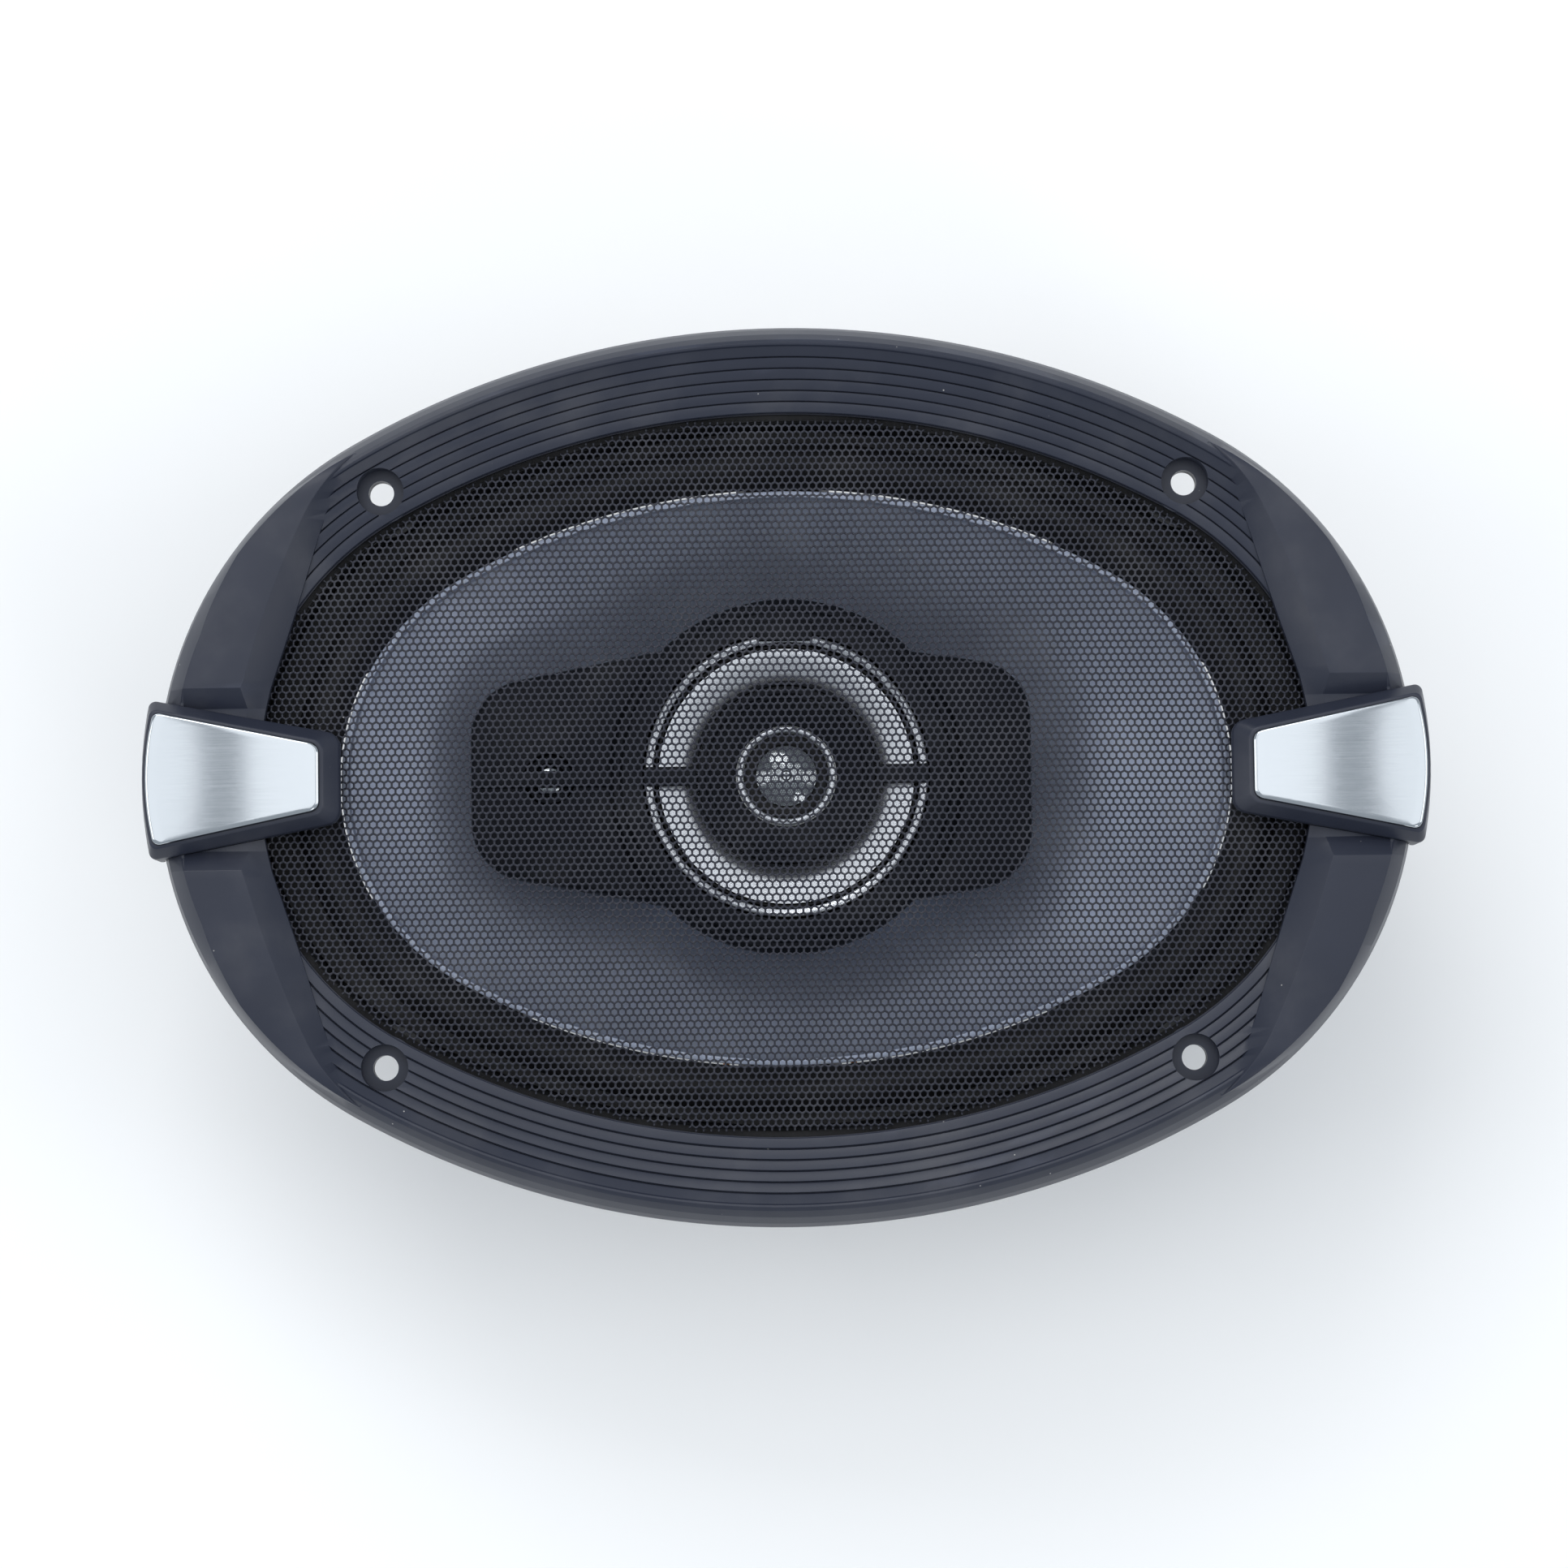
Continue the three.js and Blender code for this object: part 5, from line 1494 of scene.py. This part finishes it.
class MakeTrimRing(Operator):
    """Ribbed oval ring with its four shoulders, screw places and room for the badges"""

    bl_idname = "speaker.trim_ring"
    bl_label = "Trim ring"

    def execute(self, context):
        sizes = context.scene.speaker_grille
        ring = hoop("ribbed_trim_ring", self.section(sizes.rib_width, sizes.groove_depth), 0.22 * MM)
        above = 96 * MM
        parts, tools = [], []
        for i, place in enumerate(SCREW_PLACES):
            x, y = math.copysign(1, place[0]), math.copysign(1, place[1])
            parts.append(mirrored(self.shoulder(f"shoulder_{i}"), x, y))
            parts.append(drum(f"boss_{i}", 6.6 * MM, FLANGE_Z + SHEET + GAP, 85.9 * MM, place))
            tools.append(drum(f"counterbore_{i}", 4.8 * MM, 84 * MM, above, place, 64))
            tools.append(drum(f"screw_hole_{i}", SCREW_HOLE, FLANGE_Z - MM, above, place))
        for x in (-1, 1):
            outline = badge_outline(BADGE_FOOT, GAP / 3)
            notch = stack("notch", (outline, BADGE_SEAT_Z - GAP), (outline, above))
            tools.append(mirrored(notch, x, 1))
        room = grown(TRIM, -16.6 * MM)
        mesh_room = stack("mesh_room", (oval_outline(room), FLANGE_Z - MM), (oval_outline(room), 85.1 * MM))
        cut(joined(ring, *parts), *tools, mesh_room)
        dressed(ring, "black_plastic", GRILLE_BODY, "trim_ring")
        return {"FINISHED"}

    def section(self, rib_width, groove_depth):
        """Section from the outer wall over the ribs to the lip above the mesh."""

        def at(inset, z):
            return (*grown(TRIM, -inset * MM), z * MM)

        outer = [at(0, 80), at(0, 82.4), at(0.8, 84.8), at(2.1, 87.4), at(3.4, 89.1)]
        outer += [at(4.15, 89.7), at(4.6, 89.6)]
        groove = 0.3
        width, depth = rib_width / MM, groove_depth / MM
        inset, z = 4.85, 89.1
        ribs = []
        for drop in (1.0, 0.9, 0.75, 0.6, 0.5, 0.4):
            ribs.append(at(inset, z))
            z -= drop
            inset += width - groove
            ribs += [at(inset, z), at(inset + 0.04, z - depth), at(inset + groove - 0.06, z - depth)]
            z += 0.35
            inset += groove
        ribs[-2:] = []
        lip = [at(18.2, z - 0.65), at(18.2, 85.1), at(16.6, 85.1), at(16.6, 84), at(15.1, 84), at(14.5, 85.1)]
        inside = [at(6.0, 86.2), at(2.6, 83), at(2.4, 80)]
        return outer + ribs + lip + inside

    def shoulder(self, name):
        """One raised shoulder beside the right badge, above the X axis."""
        rows = [*SHOULDER_LEDGE]
        steps, fading = 28, 56 * MM
        for i in range(steps + 1):
            y = SHOULDERS[0][0] + (SHOULDERS[-1][0] - SHOULDERS[0][0]) * i / steps
            rows.append(eased(SHOULDERS, y))
        rings = []
        for y, inner, flat_in, flat_out, top in rows:
            sunk = 1.5 * MM * max(0.0, (y - fading) / (SHOULDERS[-1][0] - fading))
            wall, crest = trim_x(y, MM + sunk), trim_x(y, 4 * MM)
            flat_out = min(max(flat_out, crest), trim_x(y, 2.4 * MM))
            section = [
                (trim_x(y, 2 * MM), 82.2 * MM),
                (trim_x(y, sunk / 3), 82.2 * MM),
                (wall, 87.0 * MM),
                (flat_out, top),
                (min(flat_in, flat_out - 0.5 * MM), top),
                (min(inner, flat_out - 1.2 * MM), min(87.6 * MM, top)),
                (min(inner, flat_out - 1.2 * MM), 85.2 * MM),
            ]
            rings.append([(x, y, z) for x, z in section])
        return bevelled(skinned(name, rings, False), 0.5 * MM, 3, 16)


def eased(rows, at):
    """Row at a place between rows that are sorted by their first value, smooth through each of them."""
    i = max(k for k in range(len(rows) - 1) if rows[k][0] <= at or k == 0)
    start, end = rows[i], rows[i + 1]
    before, after = rows[max(i - 1, 0)], rows[min(i + 2, len(rows) - 1)]
    span = end[0] - start[0]
    t = (at - start[0]) / span
    made = [at]
    for k in range(1, len(start)):
        slope_in = (end[k] - before[k]) / (end[0] - before[0])
        slope_out = (after[k] - start[k]) / (after[0] - start[0])
        straight = start[k] + (end[k] - start[k]) * t
        bend_in = slope_in * span - (end[k] - start[k])
        bend_out = slope_out * span - (end[k] - start[k])
        made.append(straight + bend_in * t * (1 - t) ** 2 - bend_out * t * t * (1 - t))
    return made


# ---------------------------------------------------------------- Kept CAD pieces and stage


class DressKeptNodes(Operator):
    """Finishes for the CAD pieces whose shape is kept"""

    bl_idname = "speaker.kept_nodes"
    bl_label = "Kept pieces"

    def execute(self, context):
        kept = {
            "midrange_magnet": "ferrite",
            "midrange_voice_coil": "copper",
            "tweeter_magnet_cup": "plated_steel",
            "tweeter_magnet": "ferrite",
        }
        for node, finish in kept.items():
            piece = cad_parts[node]
            if not piece.material_slots:
                piece.data.materials.append(None)
            for slot in piece.material_slots:
                slot.material = finish_named(finish)
        return {"FINISHED"}


class MakeStage(Operator):
    """Pale floor, soft studio light and the camera"""

    bl_idname = "speaker.stage"
    bl_label = "Stage"

    def execute(self, context):
        scene = context.scene
        studio = scene.speaker_studio
        scene.view_settings.view_transform = "Standard"
        reach = 8.0
        floor = stack("floor", (circle(reach, count=128), -2 * MM), (circle(reach, count=128), -0.02 * MM))
        floor.data.materials.append(self.floor_material(studio.floor))
        self.world(scene, studio.sky)
        middle = (CAD_BOX[0] + CAD_BOX[1]) / 2
        target = Vector((middle.x, middle.y, FLANGE_Z + 4 * MM))
        power = studio.key_power
        lights = [
            ("middle_softbox", (0.0, 0.5, 1.7), (0.58, 1.1), power * 0.29),
            ("left_softbox", (-0.66, 0.35, 1.7), (0.62, 1.1), power * 0.28),
            ("right_softbox", (0.67, 0.35, 1.7), (0.62, 1.1), power * 0.28),
            ("key_softbox", (-0.45, 1.25, 1.4), (1.1, 0.7), power * 1.25),
            ("front_softbox", (0.8, -1.2, 1.3), (0.6, 0.5), power * 0.4),
            ("left_wall", (-1.5, 0.0, 1.15), (1.2, 0.8), power * 0.8),
            ("right_wall", (1.5, 0.0, 1.15), (1.2, 0.8), power * 0.7),
            ("edge_light", (-0.95, 1.6, 0.3), (0.5, 0.3), power * 0.25),
        ]
        for name, place, (width, height), strength in lights:
            self.area_light(name, target + Vector(place), target, width, height, strength)
        self.camera(scene, studio, target)
        return {"FINISHED"}

    def floor_material(self, tone):
        material, tree, shader = material_tree("pale_floor", Roughness=0.7)
        values = {"Colour": (*tone, 1.0), "Shade": 0.02, "Roughness": 0.7, "Spread": 0.05, "Scale": 200.0}
        grain = grouped(tree, "grain", values)
        tree.links.new(grain["Colour"], shader["Base Color"])
        tree.links.new(grain["Roughness"], shader["Roughness"])
        return material

    def world(self, scene, strength):
        world = bpy.data.worlds.new("studio")
        world.use_nodes = True
        background = world.node_tree.nodes["Background"]
        background.inputs["Color"].default_value = (0.86, 0.93, 1.0, 1.0)
        background.inputs["Strength"].default_value = strength
        scene.world = world

    def area_light(self, name, place, target, width, height, power):
        data = bpy.data.lights.new(name, "AREA")
        data.shape = "RECTANGLE"
        data.size, data.size_y = width, height
        data.energy = power
        light = bpy.data.objects.new(name, data)
        light.location = place
        light.visible_camera = False
        back = (place - target).normalized()
        across = Vector((0, 1, 0)).cross(back).normalized()
        light.rotation_euler = Matrix((across, back.cross(across), back)).transposed().to_euler()
        bpy.context.scene.collection.objects.link(light)

    def camera(self, scene, studio, target):
        data = bpy.data.cameras.new("camera")
        data.sensor_width = 36.0
        data.lens = data.sensor_width * studio.distance / studio.view_width
        data.clip_start, data.clip_end = 0.05, 50.0
        camera = bpy.data.objects.new("camera", data)
        back = Vector((0, -math.cos(studio.elevation), math.sin(studio.elevation)))
        aim = target + Vector((-0.5 * MM, -2.0 * MM, 0))
        camera.location = aim + back * studio.distance
        camera.rotation_mode = "QUATERNION"
        camera.rotation_quaternion = (-back).to_track_quat("-Z", "Y") @ Quaternion((0, 0, 1), studio.roll)
        scene.collection.objects.link(camera)
        scene.camera = camera


class SPEAKER_PT_pieces(Panel):
    """Lists the speaker's pieces"""

    bl_idname = "SPEAKER_PT_pieces"
    bl_label = "Coaxial speaker"
    bl_space_type = "VIEW_3D"
    bl_region_type = "UI"
    bl_category = "Speaker"

    def draw(self, context):
        for group in (context.scene.speaker_grille, context.scene.speaker_driver):
            for key in group.__annotations__:
                self.layout.prop(group, key)
        for operator in OPERATORS:
            self.layout.operator(operator.bl_idname)


GROUP_CLASSES = {
    "speaker_grille": GrilleSizes,
    "speaker_driver": DriverSizes,
    "speaker_colours": FinishColours,
    "speaker_studio": StudioSettings,
}
OPERATORS = (
    MakeStage,
    MakeMotor,
    MakeFixings,
    MakeBasket,
    MakeGasket,
    MakeTerminals,
    MakeCapacitor,
    MakeLeads,
    MakeCone,
    MakeSurround,
    MakeSpider,
    MakeVoiceCoil,
    MakePodShell,
    MakeMidrange,
    MakeTweeter,
    MakeSuperTweeter,
    MakeMesh,
    MakeBadges,
    MakeTrimRing,
    DressKeptNodes,
)


def register():
    for name, kind in GROUP_CLASSES.items():
        bpy.utils.register_class(kind)
        setattr(bpy.types.Scene, name, PointerProperty(type=kind))
    for kind in (*OPERATORS, SPEAKER_PT_pieces):
        bpy.utils.register_class(kind)


def unregister():
    for kind in (SPEAKER_PT_pieces, *reversed(OPERATORS)):
        bpy.utils.unregister_class(kind)
    for name, kind in GROUP_CLASSES.items():
        delattr(bpy.types.Scene, name)
        bpy.utils.unregister_class(kind)


def main():
    register()
    for operator in OPERATORS:
        group, name = operator.bl_idname.split(".")
        getattr(getattr(bpy.ops, group), name)()


if __name__ == "__main__":
    main()
